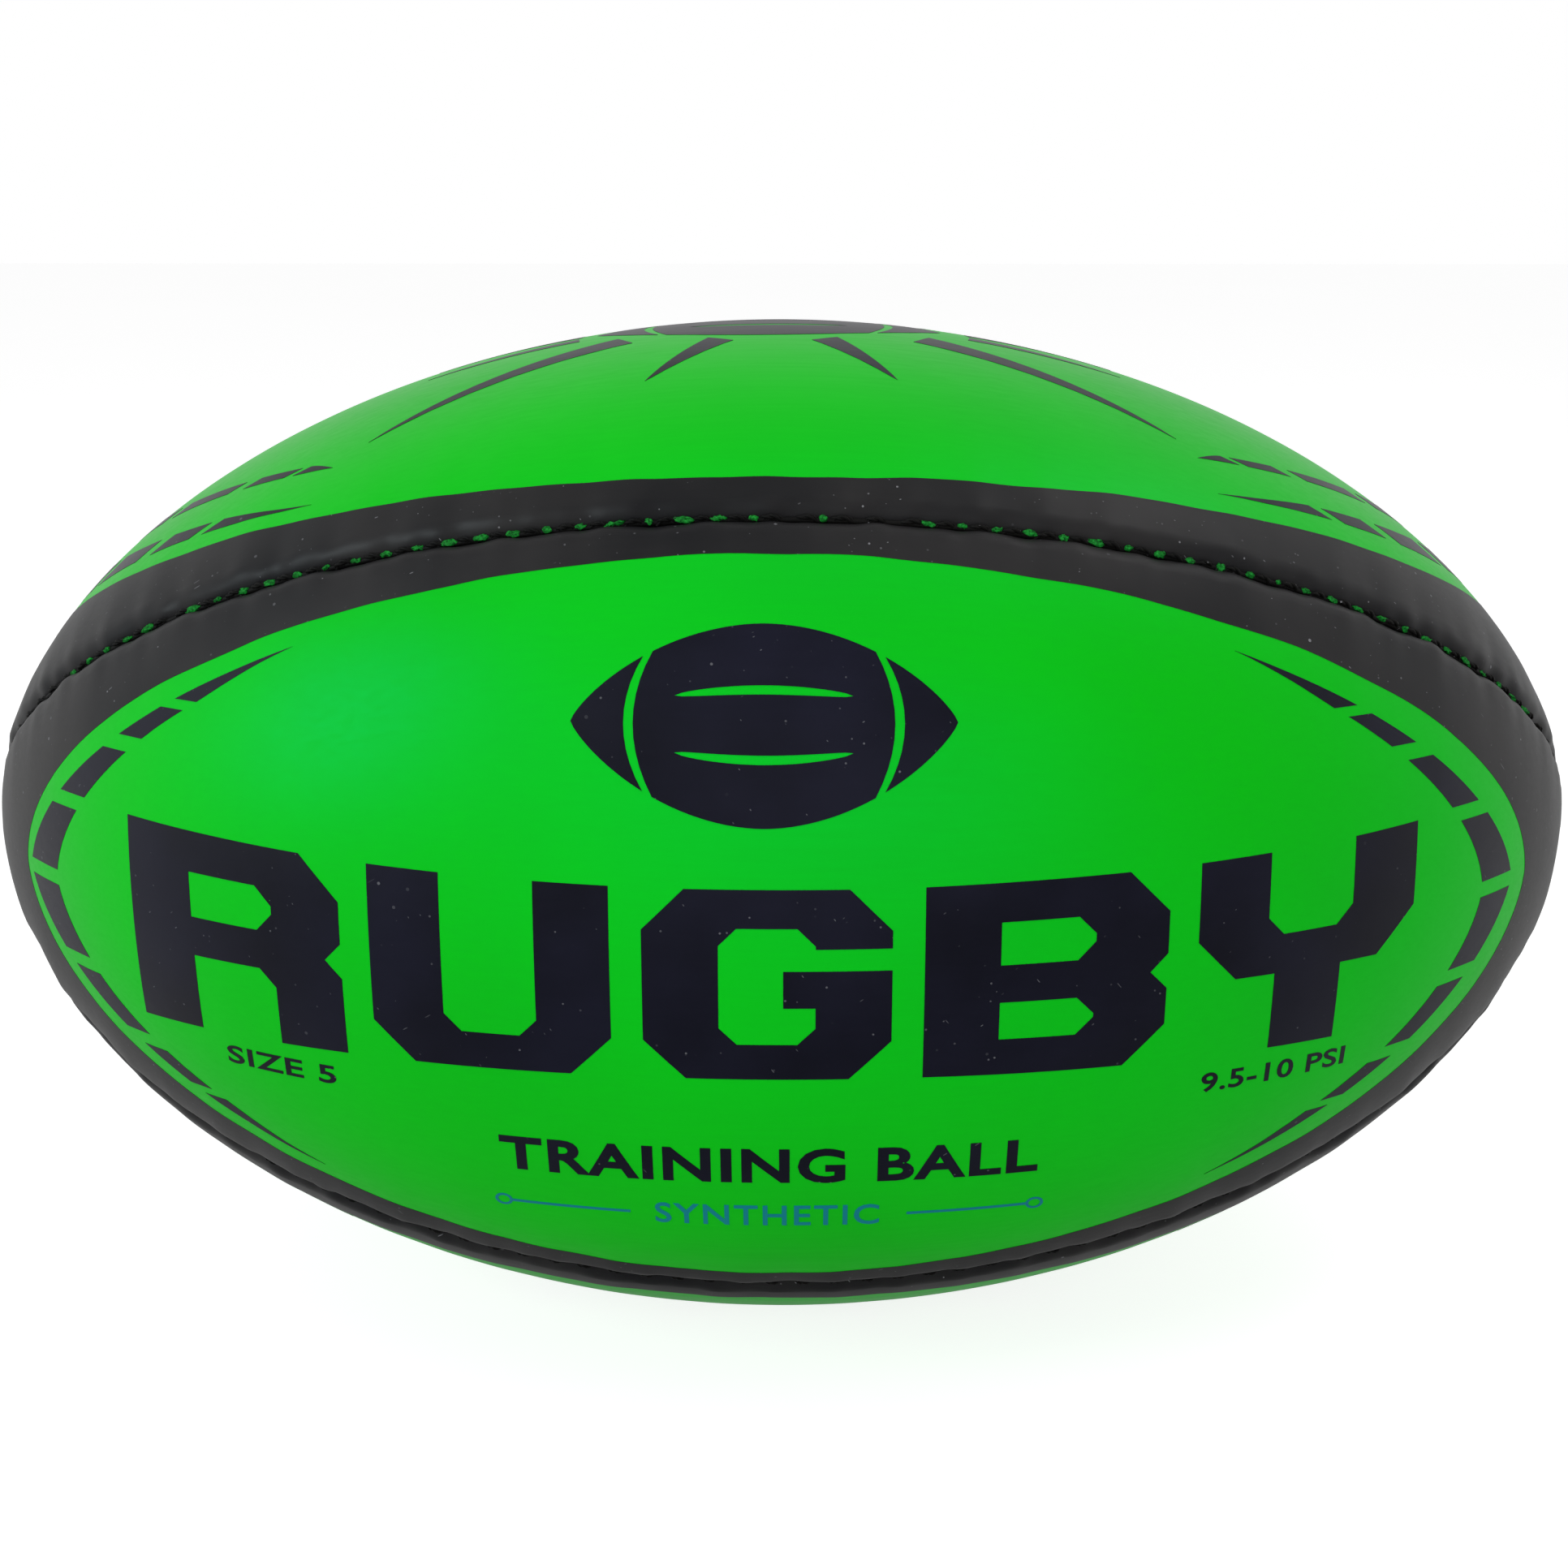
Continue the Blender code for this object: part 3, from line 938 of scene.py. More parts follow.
@dataclass
class FlatPrint:
    """A flat drawing in the plane of a panel's pattern, laid on the ball as a thin layer of ink."""

    cover: PanelCover
    cell: float = 3.0 * MM
    font_steps: int = 4

    def outlines(self, loops: list[Points]) -> bpy.types.Mesh:
        """Fills closed outlines.

        Args:
            loops: The outlines; one inside another is a hole.

        Returns:
            A flat mesh.
        """
        work = bmesh.new()
        for loop in loops:
            corners = [work.verts.new((x, y, 0)) for x, y in loop]
            for first, second in zip(corners, corners[1:] + corners[:1]):
                work.edges.new((first, second))
        bmesh.ops.triangle_fill(work, edges=work.edges[:], use_beauty=True, normal=(0, 0, 1))
        mesh = bpy.data.meshes.new("drawing")
        work.to_mesh(mesh)
        work.free()
        return mesh

    def words(self, line: SmallLine) -> bpy.types.Mesh:
        """Sets a line of small lettering.

        Args:
            line: What it says, and its size and place.

        Returns:
            The filled shapes of the letters.
        """
        curve = bpy.data.curves.new("words", "FONT")
        curve.body = line.text
        curve.offset = line.boldness
        curve.space_character = line.spacing
        curve.resolution_u = self.font_steps
        lettering = bpy.data.objects.new("words", curve)
        bpy.context.scene.collection.objects.link(lettering)
        bpy.context.view_layer.update()
        graph = bpy.context.evaluated_depsgraph_get()
        mesh = bpy.data.meshes.new_from_object(lettering.evaluated_get(graph))
        bpy.data.objects.remove(lettering)
        places = np.array([vertex.co for vertex in mesh.vertices])
        low, high = places.min(axis=0), places.max(axis=0)
        scale = Matrix.Diagonal((line.width / (high[0] - low[0]), line.height / (high[1] - low[1]), 1, 1))
        mesh.transform(scale @ Matrix.Translation((-(low[0] + high[0]) / 2, -(low[1] + high[1]) / 2, 0)))
        mesh.transform(Matrix.Translation((*line.place, 0)))
        return mesh

    def lay(
        self, name: str, side: Side, drawings: list[bpy.types.Mesh], material: bpy.types.Material
    ) -> bpy.types.Object:
        """Cuts flat drawings into small cells, bends them onto a panel and gives them a thickness.

        Args:
            name: The piece's name.
            side: The panel they are printed on; the back one's drawings are turned to read from behind.
            drawings: Flat meshes in the pattern's plane, which are used up.
            material: The ink.

        Returns:
            The print as one piece.
        """
        work = bmesh.new()
        for drawing in drawings:
            work.from_mesh(drawing)
            bpy.data.meshes.remove(drawing)
        bmesh.ops.remove_doubles(work, verts=work.verts, dist=WELD_DISTANCE)
        for axis in (0, 1):
            places = [vertex.co[axis] for vertex in work.verts]
            first = math.floor(min(places) / self.cell) + 1
            last = math.ceil(max(places) / self.cell)
            direction = Vector((1 - axis, axis, 0))
            for step in range(first, last):
                bmesh.ops.bisect_plane(
                    work, geom=[*work.verts, *work.edges, *work.faces], dist=WELD_DISTANCE,
                    plane_co=direction * (step * self.cell), plane_no=direction,
                )
        bmesh.ops.triangulate(work, faces=work.faces)
        mesh = bpy.data.meshes.new(name)
        work.to_mesh(mesh)
        work.free()
        weld(mesh, SLIVER)
        flat = np.array([vertex.co for vertex in mesh.vertices])
        if side is Side.BACK:
            flat = -flat
        shape = self.cover.shape
        station = shape.station(flat[:, 0] + self.cover.outline.shift)
        angle = shape.angle_across(station, flat[:, 1])
        points = self.cover.surface(side, station, angle, self.cover.ink_height)
        mesh.vertices.foreach_set("co", points.astype(np.float32).ravel())
        mesh.update()
        mesh.shade_smooth()
        piece = add_piece(name, mesh, material)
        add_wall(piece, self.cover.ink_thickness)
        LOG.info("print %s: %d faces", name, len(mesh.polygons))
        return piece


@dataclass(frozen=True)
class BlockLetters:
    """Heavy block capitals with cut corners, for the one large word on the ball."""

    width: float = 38.6 * MM
    gap: float = 5.0 * MM
    height: float = 31.4 * MM
    middle: float = -2.6 * MM
    stem: float = 11.8 * MM
    bar: float = 6.1 * MM
    corner: float = 6.6 * MM
    inner_corner: float = 2.8 * MM
    flare: float = 0.14
    flare_reach: float = 105.0 * MM
    waist: float = 0.49
    mouth: float = 0.70
    fork: float = 0.40
    spur: float = 5.0 * MM

    def hole(self, left: float, bottom: float, right: float, top: float) -> Points:
        """Draws the inside of a bowl, cut at its right corners.

        Args:
            left: Its left side.
            bottom: Its lower side.
            right: Its right side.
            top: Its upper side.

        Returns:
            A closed outline.
        """
        k = self.inner_corner
        cut = [(right - k, top), (right, top - k), (right, bottom + k), (right - k, bottom)]
        return [(left, bottom), (left, top), *cut]

    def letter(self, name: str) -> list[Points]:
        """Draws one letter, with its lower left corner at the origin.

        Args:
            name: R, U, G, B or Y.

        Returns:
            Its outline and its holes.
        """
        w, h, s, b, c, k = self.width, self.height, self.stem, self.bar, self.corner, self.inner_corner
        m = self.waist * h
        low, high = m - b / 2, m + b / 2
        upper_hole = self.hole(s, high, w - s, h - b)
        if name == "R":
            bowl = [(0, 0), (0, h), (w - c, h), (w, h - c), (w, m + k), (w - k, m), (w, m - k), (w, 0)]
            leg = [(w - s, 0), (w - s, low - k), (w - s - k, low), (s, low), (s, 0)]
            return [bowl + leg, upper_hole]
        if name == "U":
            outside = [(w, h), (w, c), (w - c, 0), (c, 0), (0, c), (0, h)]
            inside = [(s, h), (s, b + k), (s + k, b), (w - s - k, b), (w - s, b + k), (w - s, h)]
            return [outside + inside]
        if name == "G":
            bar_left, lip = w - s - self.spur, self.mouth * h
            outside = [(w, high), (w, c), (w - c, 0), (c, 0), (0, c), (0, h - c), (c, h), (w - c, h)]
            mouth = [(w, h - c), (w, lip), (w - s, lip), (w - s, h - b - k), (w - s - k, h - b)]
            bowl = [(s + k, h - b), (s, h - b - k), (s, b + k), (s + k, b), (w - s - k, b), (w - s, b + k)]
            bar = [(w - s, low), (bar_left, low), (bar_left, high)]
            return [outside + mouth + bowl + bar]
        if name == "B":
            bowls = [(w - c, h), (w, h - c), (w, m + k), (w - k, m), (w, m - k), (w, c), (w - c, 0)]
            return [[(0, 0), (0, h), *bowls], upper_hole, self.hole(s, b, w - s, low)]
        fork, left, right = self.fork * h, (w - s) / 2, (w + s) / 2
        top = fork + b
        arms = [(0, h), (s, h), (s, top + k), (s + k, top), (w - s - k, top), (w - s, top + k)]
        stalk = [(w - s, h), (w, h), (w, fork + c), (w - c, fork), (right, fork), (right, 0), (left, 0)]
        return [arms + stalk + [(left, fork), (c, fork), (0, fork + c)]]

    def loops(self, word: str) -> list[Points]:
        """Sets the whole word, centred, its outer letters a little taller.

        Args:
            word: The word.

        Returns:
            Outlines of its letters and their holes.
        """
        total = len(word) * self.width + (len(word) - 1) * self.gap
        loops = []
        for index, name in enumerate(word):
            left = index * (self.width + self.gap) - total / 2
            for loop in self.letter(name):
                placed = []
                for x, y in loop:
                    x += left
                    grown = 1 + self.flare * (x / self.flare_reach) ** 2
                    placed.append((x, self.middle + (y - self.height / 2) * grown))
                loops.append(placed)
        return loops


@dataclass(frozen=True)
class DashRow:
    """Slanted dashes along the ends of the green field, with a long tapered one at each end of a row.

    The cuts and the spear are distances across the panel in millimetres.
    """

    inset: float = 2.4 * MM
    shift: float = -1.2 * MM
    inset_growth: float = 0.14
    width: float = 6.9 * MM
    width_shrink: float = 0.075
    cuts: Offsets = ((1.4, 13.4), (16.0, 25.6), (28.3, 34.3))
    spear: tuple[float, float] = (36.0, 47.1)
    taper_power: float = 1.35
    steps: int = 8

    def loops(self, outline: FieldOutline) -> list[Points]:
        """Draws the dashes at both ends of the field, above and below its middle line.

        Args:
            outline: The green field's edge.

        Returns:
            Their outlines.
        """
        loops = []
        for start, end in (*self.cuts, self.spear):
            taper = (start, end) == self.spear
            outer, inner = [], []
            for step in range(self.steps + 1):
                share = step / self.steps
                across = (start + (end - start) * share) * MM
                edge = outline.along(across) - self.inset - self.inset_growth * across
                width = self.width - self.width_shrink * across
                if taper:
                    width *= 1 - share**self.taper_power
                outer.append((edge, across))
                inner.append((edge - width, across))
            if taper:
                inner.pop()
            dash = outer + inner[::-1]
            for along_sign in (-1, 1):
                for across_sign in (-1, 1):
                    loops.append([(x * along_sign + self.shift, v * across_sign) for x, v in dash])
        return loops


@dataclass(frozen=True)
class BallBadge:
    """A plain drawing of a rugby ball: two end caps and a body with two curved seam lines."""

    half_length: float = 29.5 * MM
    half_height: float = 15.7 * MM
    cap: float = 0.60
    slit: float = 0.05
    bulge: float = 0.10
    seam_reach: float = 0.46
    seam_height: float = 0.34
    seam_half: float = 0.045
    rim_power: float = 1.9
    point_power: float = 0.8
    steps: int = 24
    fan_steps: int = 10

    def rim(self, share: float) -> float:
        """Half height at a share of the half length, both as shares."""
        return (1 - abs(share) ** self.rim_power) ** self.point_power

    def loops(self, centre: tuple[float, float]) -> list[Points]:
        """Draws the badge.

        Args:
            centre: Its centre in the pattern's plane.

        Returns:
            Outlines of the body, the caps and the seam lines, which are holes in the body.
        """
        shares = [step / self.steps for step in range(self.steps + 1)]
        body_end, cap_start = self.cap - self.slit / 2, self.cap + self.slit / 2
        body_x = [-body_end + 2 * body_end * share for share in shares]
        top = [(x, self.rim(x)) for x in body_x]
        side = self.bulged(body_end)[1:-1]
        body = top + side + [(-x, -v) for x, v in top] + [(-x, -v) for x, v in side]
        loops = [body]
        cap_x = [cap_start + (1 - cap_start) * share for share in shares]
        cap = [(x, self.rim(x)) for x in cap_x] + [(x, -self.rim(x)) for x in reversed(cap_x[:-1])]
        cap += self.bulged(cap_start)[::-1][1:-1]
        loops += [cap, [(-x, v) for x, v in cap]]
        for sign in (-1, 1):
            reach = [self.seam_reach * (2 * share - 1) for share in shares]
            line = [(x, sign * self.seam_height * self.rim(x)) for x in reach]
            thick = [self.seam_half * (1 - (x / self.seam_reach) ** 2) ** 0.5 for x in reach]
            over = [(x, v + half) for (x, v), half in zip(line, thick)]
            under = [(x, v - half) for (x, v), half in zip(line, thick)]
            loops.append(over + under[::-1][1:-1])
        return [
            [(centre[0] + x * self.half_length, centre[1] + v * self.half_height) for x, v in loop]
            for loop in loops
        ]

    def bulged(self, share: float) -> Points:
        """Draws a line across the ball that bulges outwards, from the upper rim to the lower one.

        Args:
            share: Where it meets the rim, as a share of the half length.

        Returns:
            Points of the line, as shares of the half length and the half height.
        """
        rim = self.rim(share)
        heights = [rim * (1 - 2 * step / self.fan_steps) for step in range(self.fan_steps + 1)]
        return [(share + self.bulge * (1 - (v / rim) ** 2), v) for v in heights]


@dataclass(frozen=True)
class Streak:
    """A long tapered ray."""

    start: tuple[float, float]
    end: tuple[float, float]
    width: float
    taper_power: float = 0.85
    steps: int = 12

    def loop(self, mirror: tuple[int, int]) -> Points:
        """Draws the ray.

        Args:
            mirror: Signs that mirror it along and across the panel.

        Returns:
            Its outline.
        """
        dx, dy = (self.end[axis] - self.start[axis] for axis in (0, 1))
        length = math.hypot(dx, dy)
        left, right = [], []
        for step in range(self.steps + 1):
            share = step / self.steps
            x, y = self.start[0] + dx * share, self.start[1] + dy * share
            half = self.width / 2 * (1 - share) ** self.taper_power
            left.append((x - dy / length * half, y + dx / length * half))
            right.append((x + dy / length * half, y - dx / length * half))
        outline = left + right[::-1][1:]
        return [(x * mirror[0], y * mirror[1]) for x, y in outline]


@dataclass
class PanelPrints:
    """The drawings on the panels: lettered front and back, a badge in a burst of rays on top and bottom."""

    cover: PanelCover
    palette: Palette
    badge_centre: tuple[float, float] = (-0.5 * MM, 38.2 * MM)
    wide_badge: BallBadge = BallBadge(half_length=31 * MM, half_height=16.5 * MM)
    wide_centre: tuple[float, float] = (-1 * MM, 0)
    streaks: tuple[Streak, ...] = (
        Streak((35 * MM, 3.4 * MM), (62 * MM, 6.6 * MM), 4.4 * MM),
        Streak((26 * MM, 13.0 * MM), (68 * MM, 34.8 * MM), 6.4 * MM),
        Streak((9 * MM, 18.6 * MM), (21 * MM, 37.5 * MM), 5.2 * MM),
    )
    inner_row: DashRow = DashRow(
        inset=14.0 * MM, inset_growth=0.34, width=4.4 * MM, width_shrink=0.03,
        cuts=((2.0, 12.6), (15.4, 25.9), (28.2, 33.4)), spear=(34.4, 38.6),
    )
    valve_place: tuple[float, float] = (1.0 * MM, 38.9 * MM)
    valve_ring: float = 13.5 * MM
    valve_line: float = 1.6 * MM
    tick: tuple[float, float, float, float] = (15 * MM, -0.6 * MM, 18.5 * MM, 0.6 * MM)
    tick_spacing: int = 45
    black_lines: tuple[SmallLine, ...] = (
        SmallLine("SIZE 5", 3.7 * MM, 20.0 * MM, (-80.6 * MM, -24.2 * MM)),
        SmallLine("9.5-10 PSI", 3.9 * MM, 26.0 * MM, (83.2 * MM, -24.6 * MM)),
        SmallLine("TRAINING BALL", 7.4 * MM, 87.2 * MM, (0.1 * MM, -35.4 * MM), 0.030, 1.10),
    )
    teal_line: SmallLine = SmallLine("SYNTHETIC", 5.2 * MM, 36.6 * MM, (-0.2 * MM, -47.0 * MM), 0.012, 1.12)
    rule_ends: tuple[float, float] = (22.6 * MM, 42.4 * MM)
    rule_sides: tuple[float, float] = (-47.4 * MM, -46.8 * MM)
    rule_eye: tuple[float, float] = (43.8 * MM, -47.1 * MM)
    rule_eye_radius: float = 1.5 * MM
    rule_eye_line: float = 0.5 * MM
    rule_eye_steps: int = 20

    def ring(self, centre: tuple[float, float], radius: float, line: float, steps: int = 32) -> list[Points]:
        """Outline and hole of a ring."""
        return [arc(centre, size, 0, 360 - 360 / steps, steps - 1) for size in (radius, radius - line)]

    def box(self, left: float, bottom: float, right: float, top: float) -> Points:
        """A rectangle."""
        return [(left, bottom), (right, bottom), (right, top), (left, top)]

    def valve_mark(self, flat: FlatPrint) -> list[bpy.types.Mesh]:
        """Draws a ring with ticks about the valve.

        Args:
            flat: The flat printer.

        Returns:
            Flat meshes of the ring and of each tick.
        """
        mark = [flat.outlines(self.ring(self.valve_place, self.valve_ring, self.valve_line))]
        along, across = self.valve_place
        for degrees in range(0, 360, self.tick_spacing):
            sine, cosine = math.sin(math.radians(degrees)), math.cos(math.radians(degrees))
            tick = [
                (along + x * cosine - y * sine, across + x * sine + y * cosine)
                for x, y in self.box(*self.tick)
            ]
            mark.append(flat.outlines([tick]))
        return mark

    def lettered(self, side: Side) -> None:
        """Prints the front or back panel: words, dashes, and the badge or the valve's mark.

        Args:
            side: The panel.
        """
        flat, ink = FlatPrint(self.cover), self.palette.ink
        flat.lay(f"word_print_{side.word}", side, [flat.outlines(BlockLetters().loops("RUGBY"))], ink)
        dashes = DashRow().loops(self.cover.outline)
        flat.lay(f"dash_print_{side.word}", side, [flat.outlines([loop]) for loop in dashes], ink)
        if side is Side.FRONT:
            badge = [flat.outlines(BallBadge().loops(self.badge_centre))]
        else:
            badge = self.valve_mark(flat)
        flat.lay(f"badge_print_{side.word}", side, badge, ink)
        flat.lay(f"small_print_{side.word}", side, [flat.words(line) for line in self.black_lines], ink)
        teal = [flat.words(self.teal_line)]
        for sign in (-1, 1):
            left, right = sorted(sign * end for end in self.rule_ends)
            teal.append(flat.outlines([self.box(left, self.rule_sides[0], right, self.rule_sides[1])]))
            eye = (sign * self.rule_eye[0], self.rule_eye[1])
            rings = self.ring(eye, self.rule_eye_radius, self.rule_eye_line, self.rule_eye_steps)
            teal.append(flat.outlines(rings))
        flat.lay(f"teal_print_{side.word}", side, teal, self.palette.teal)

    def streaked(self, side: Side) -> None:
        """Prints the top or bottom panel: a wide badge in a burst of tapered rays, and two rows of dashes.

        Args:
            side: The panel.
        """
        flat, ink = FlatPrint(self.cover), self.palette.ink
        drawings = [flat.outlines(self.wide_badge.loops(self.wide_centre))]
        for streak in self.streaks:
            for mirror in ((-1, -1), (-1, 1), (1, -1), (1, 1)):
                drawings.append(flat.outlines([streak.loop(mirror)]))
        flat.lay(f"badge_print_{side.word}", side, drawings, ink)
        dashes = DashRow().loops(self.cover.outline) + self.inner_row.loops(self.cover.outline)
        flat.lay(f"dash_print_{side.word}", side, [flat.outlines([loop]) for loop in dashes], ink)

    def build(self, side: Side) -> None:
        """Prints one panel."""
        draw = self.lettered if side in (Side.FRONT, Side.BACK) else self.streaked
        draw(side)


# ---------------------------------------------------------------------------------------------------------
# Seams
# ---------------------------------------------------------------------------------------------------------


class SeamTrees:
    """Geometry Nodes trees that sew along a guide line, whose points hold an outward direction."""

    ply_points = 8
    ply_sides = 6
    ply_swing = 0.85
    ply_turns = 1.25
    dive_power = 3.0
    cord_sides = 8
    most_tilt = (0.1, 0.1, 0.16)
    stitch_scale = (0.88, 1.12)
    fleck_scale = ((0.4, 0.55, 0.6), (1.3, 1.15, 1.1))
    fleck_noise = 2400.0

    def __init__(self) -> None:
        """Builds the trees once."""
        self.strand = self._strand()
        self.stitches = self._stitches()
        self.flecks = self._flecks()

    def _strand(self) -> bpy.types.NodeTree:
        """Winds one ply of a stitch: a short tube round the stitch's line that dives at its ends.

        Returns:
            The tree.
        """
        group, build, start, end = new_group(
            "Thread ply", "GeometryNodeTree",
            {
                "Length": ("Float", 4 * MM), "Radius": ("Float", 0.3 * MM), "Turns": ("Float", 1.0),
                "Phase": ("Float", 0.0), "Arch": ("Float", 0.6 * MM),
            },
            ("Geometry", "Geometry"),
        )
        half = build.math("MULTIPLY", start.outputs["Length"], 0.5)
        first = build.add("ShaderNodeCombineXYZ", {0: build.math("MULTIPLY", half, -1.0)})
        last = build.add("ShaderNodeCombineXYZ", {0: half})
        line = build.add(
            "GeometryNodeCurvePrimitiveLine", {"Start": first.outputs[0], "End": last.outputs[0]}
        )
        fine = build.add("GeometryNodeResampleCurve", {"Curve": line.outputs[0], "Count": self.ply_points})
        share = build.add("GeometryNodeSplineParameter").outputs["Factor"]
        turn = build.math("MULTIPLY", build.math("MULTIPLY", share, 2 * math.pi), start.outputs["Turns"])
        angle = build.math("ADD", turn, start.outputs["Phase"])
        swing = build.math("MULTIPLY", start.outputs["Radius"], self.ply_swing)
        across = build.math("MULTIPLY", build.math("COSINE", angle), swing)
        centred = build.math("MULTIPLY_ADD", share, 2.0, -1.0)
        dive = build.math("POWER", build.math("ABSOLUTE", centred), self.dive_power)
        sunk = build.math("MULTIPLY", build.math("MULTIPLY", dive, -1.0), start.outputs["Arch"])
        up = build.math("ADD", build.math("MULTIPLY", build.math("SINE", angle), swing), sunk)
        offset = build.add("ShaderNodeCombineXYZ", {1: across, 2: up})
        bent = build.add(
            "GeometryNodeSetPosition", {"Geometry": fine.outputs[0], "Offset": offset.outputs[0]}
        )
        tube = self._tube(build, bent, start.outputs["Radius"], self.ply_sides)
        build.tree.links.new(tube, end.inputs["Geometry"])
        return group

    def _tube(
        self, build: TreeBuilder, curve: bpy.types.Node, radius: bpy.types.NodeSocket, sides: int
    ) -> bpy.types.NodeSocket:
        """Turns a curve into a closed tube.

        Args:
            build: Builder of the tree.
            curve: The node that gives the curve.
            radius: The tube's radius.
            sides: Number of points round it.

        Returns:
            The tube's mesh.
        """
        ring = build.add("GeometryNodeCurvePrimitiveCircle", {"Resolution": sides, "Radius": radius})
        ends = {"Curve": curve.outputs[0], "Profile Curve": ring.outputs[0], "Fill Caps": True}
        return build.add("GeometryNodeCurveToMesh", ends).outputs[0]

    def _random(self, build: TreeBuilder, start: bpy.types.Node, kind: str, span: dict) -> bpy.types.Node:
        """Adds a random value of a kind for each point, by the tree's seed."""
        values = {**span, "Seed": start.outputs["Seed"]}
        return build.add("FunctionNodeRandomValue", values, data_type=kind)

    def _outward(self, build: TreeBuilder) -> bpy.types.NodeSocket:
        """Reads the guide's outward direction."""
        named = build.add("GeometryNodeInputNamedAttribute", {"Name": "outward"}, data_type="FLOAT_VECTOR")
        return named.outputs["Attribute"]

    def _places(self, build: TreeBuilder, start: bpy.types.Node, shift: float) -> tuple:
        """Sets points along the guide, one pitch apart.

        Args:
            build: Builder of the tree.
            start: The tree's input node.
            shift: Share of a pitch by which the points move along the guide.

        Returns:
            The guide's curve, the points, and the rotation that turns X along the guide and Z outwards.
        """
        curve = build.add("GeometryNodeMeshToCurve", {"Mesh": start.outputs["Guide"]})
        even = build.add(
            "GeometryNodeResampleCurve",
            {"Curve": curve.outputs[0], "Length": start.outputs["Pitch"]}, mode="LENGTH",
        )
        tangent = build.add("GeometryNodeInputTangent").outputs[0]
        rotation = build.add(
            "FunctionNodeAxesToRotation", {"Primary Axis": tangent, "Secondary Axis": self._outward(build)},
            primary_axis="X", secondary_axis="Z",
        )
        lowest = tuple(-angle for angle in self.most_tilt)
        tilt = self._random(build, start, "FLOAT_VECTOR", {0: lowest, 1: self.most_tilt})
        tilted = build.add(
            "FunctionNodeRotateRotation", {0: rotation.outputs[0], 1: tilt.outputs[0]}, rotation_space="LOCAL"
        )
        step = build.math("MULTIPLY", start.outputs["Pitch"], shift)
        offset = build.add("ShaderNodeVectorMath", {0: tangent, "Scale": step}, operation="SCALE")
        moved = build.add(
            "GeometryNodeSetPosition", {"Geometry": even.outputs[0], "Offset": offset.outputs[0]}
        )
        return curve, moved.outputs[0], tilted.outputs[0]

    def _finish(
        self, build: TreeBuilder, start: bpy.types.Node, end: bpy.types.Node, geometry: bpy.types.NodeSocket
    ) -> None:
        """Sets smooth shading and the material, and links the result.

        Args:
            build: Builder of the tree.
            start: The tree's input node.
            end: The tree's output node.
            geometry: The real mesh.
        """
        smooth = build.add("GeometryNodeSetShadeSmooth", {"Geometry": geometry})
        dressed = build.add(
            "GeometryNodeSetMaterial", {"Geometry": smooth.outputs[0], "Material": start.outputs["Material"]}
        )
        build.tree.links.new(dressed.outputs[0], end.inputs["Geometry"])

    def _stitches(self) -> bpy.types.NodeTree:
        """Sews two-ply stitches along the seam over a cord that lies deep in the groove.

        Returns:
            The tree.
        """
        group, build, start, end = new_group(
            "Seam stitches", "GeometryNodeTree",
            {
                "Guide": ("Geometry", None), "Pitch": ("Float", 5.4 * MM),
                "Stitch length": ("Float", 3.5 * MM), "Ply radius": ("Float", 0.27 * MM),
                "Arch": ("Float", 1.1 * MM), "Cord radius": ("Float", 0.45 * MM),
                "Cord depth": ("Float", 0.8 * MM), "Seed": ("Int", 0), "Material": ("Material", None),
            },
            ("Geometry", "Geometry"),
        )
        curve, places, rotation = self._places(build, start, 0.0)
        plies = build.add("GeometryNodeJoinGeometry")
        for phase in (0.0, math.pi):
            ply = build.add(
                "GeometryNodeGroup",
                {
                    "Length": start.outputs["Stitch length"], "Radius": start.outputs["Ply radius"],
                    "Arch": start.outputs["Arch"], "Phase": phase, "Turns": self.ply_turns,
                },
                node_tree=self.strand,
            )
            build.tree.links.new(ply.outputs[0], plies.inputs[0])
        size = self._random(build, start, "FLOAT", {2: self.stitch_scale[0], 3: self.stitch_scale[1]})
        copies = build.add(
            "GeometryNodeInstanceOnPoints",
            {"Points": places, "Instance": plies.outputs[0], "Rotation": rotation, "Scale": size.outputs[1]},
        )
        real = build.add("GeometryNodeRealizeInstances", {"Geometry": copies.outputs[0]})
        down = build.math("MULTIPLY", start.outputs["Cord depth"], -1.0)
        offset = build.add(
            "ShaderNodeVectorMath", {0: self._outward(build), "Scale": down}, operation="SCALE"
        )
        deep = build.add(
            "GeometryNodeSetPosition", {"Geometry": curve.outputs[0], "Offset": offset.outputs[0]}
        )
        cord = self._tube(build, deep, start.outputs["Cord radius"], self.cord_sides)
        both = build.add("GeometryNodeJoinGeometry")
        for source in (real.outputs[0], cord):
            build.tree.links.new(source, both.inputs[0])
        self._finish(build, start, end, both.outputs[0])
        return group

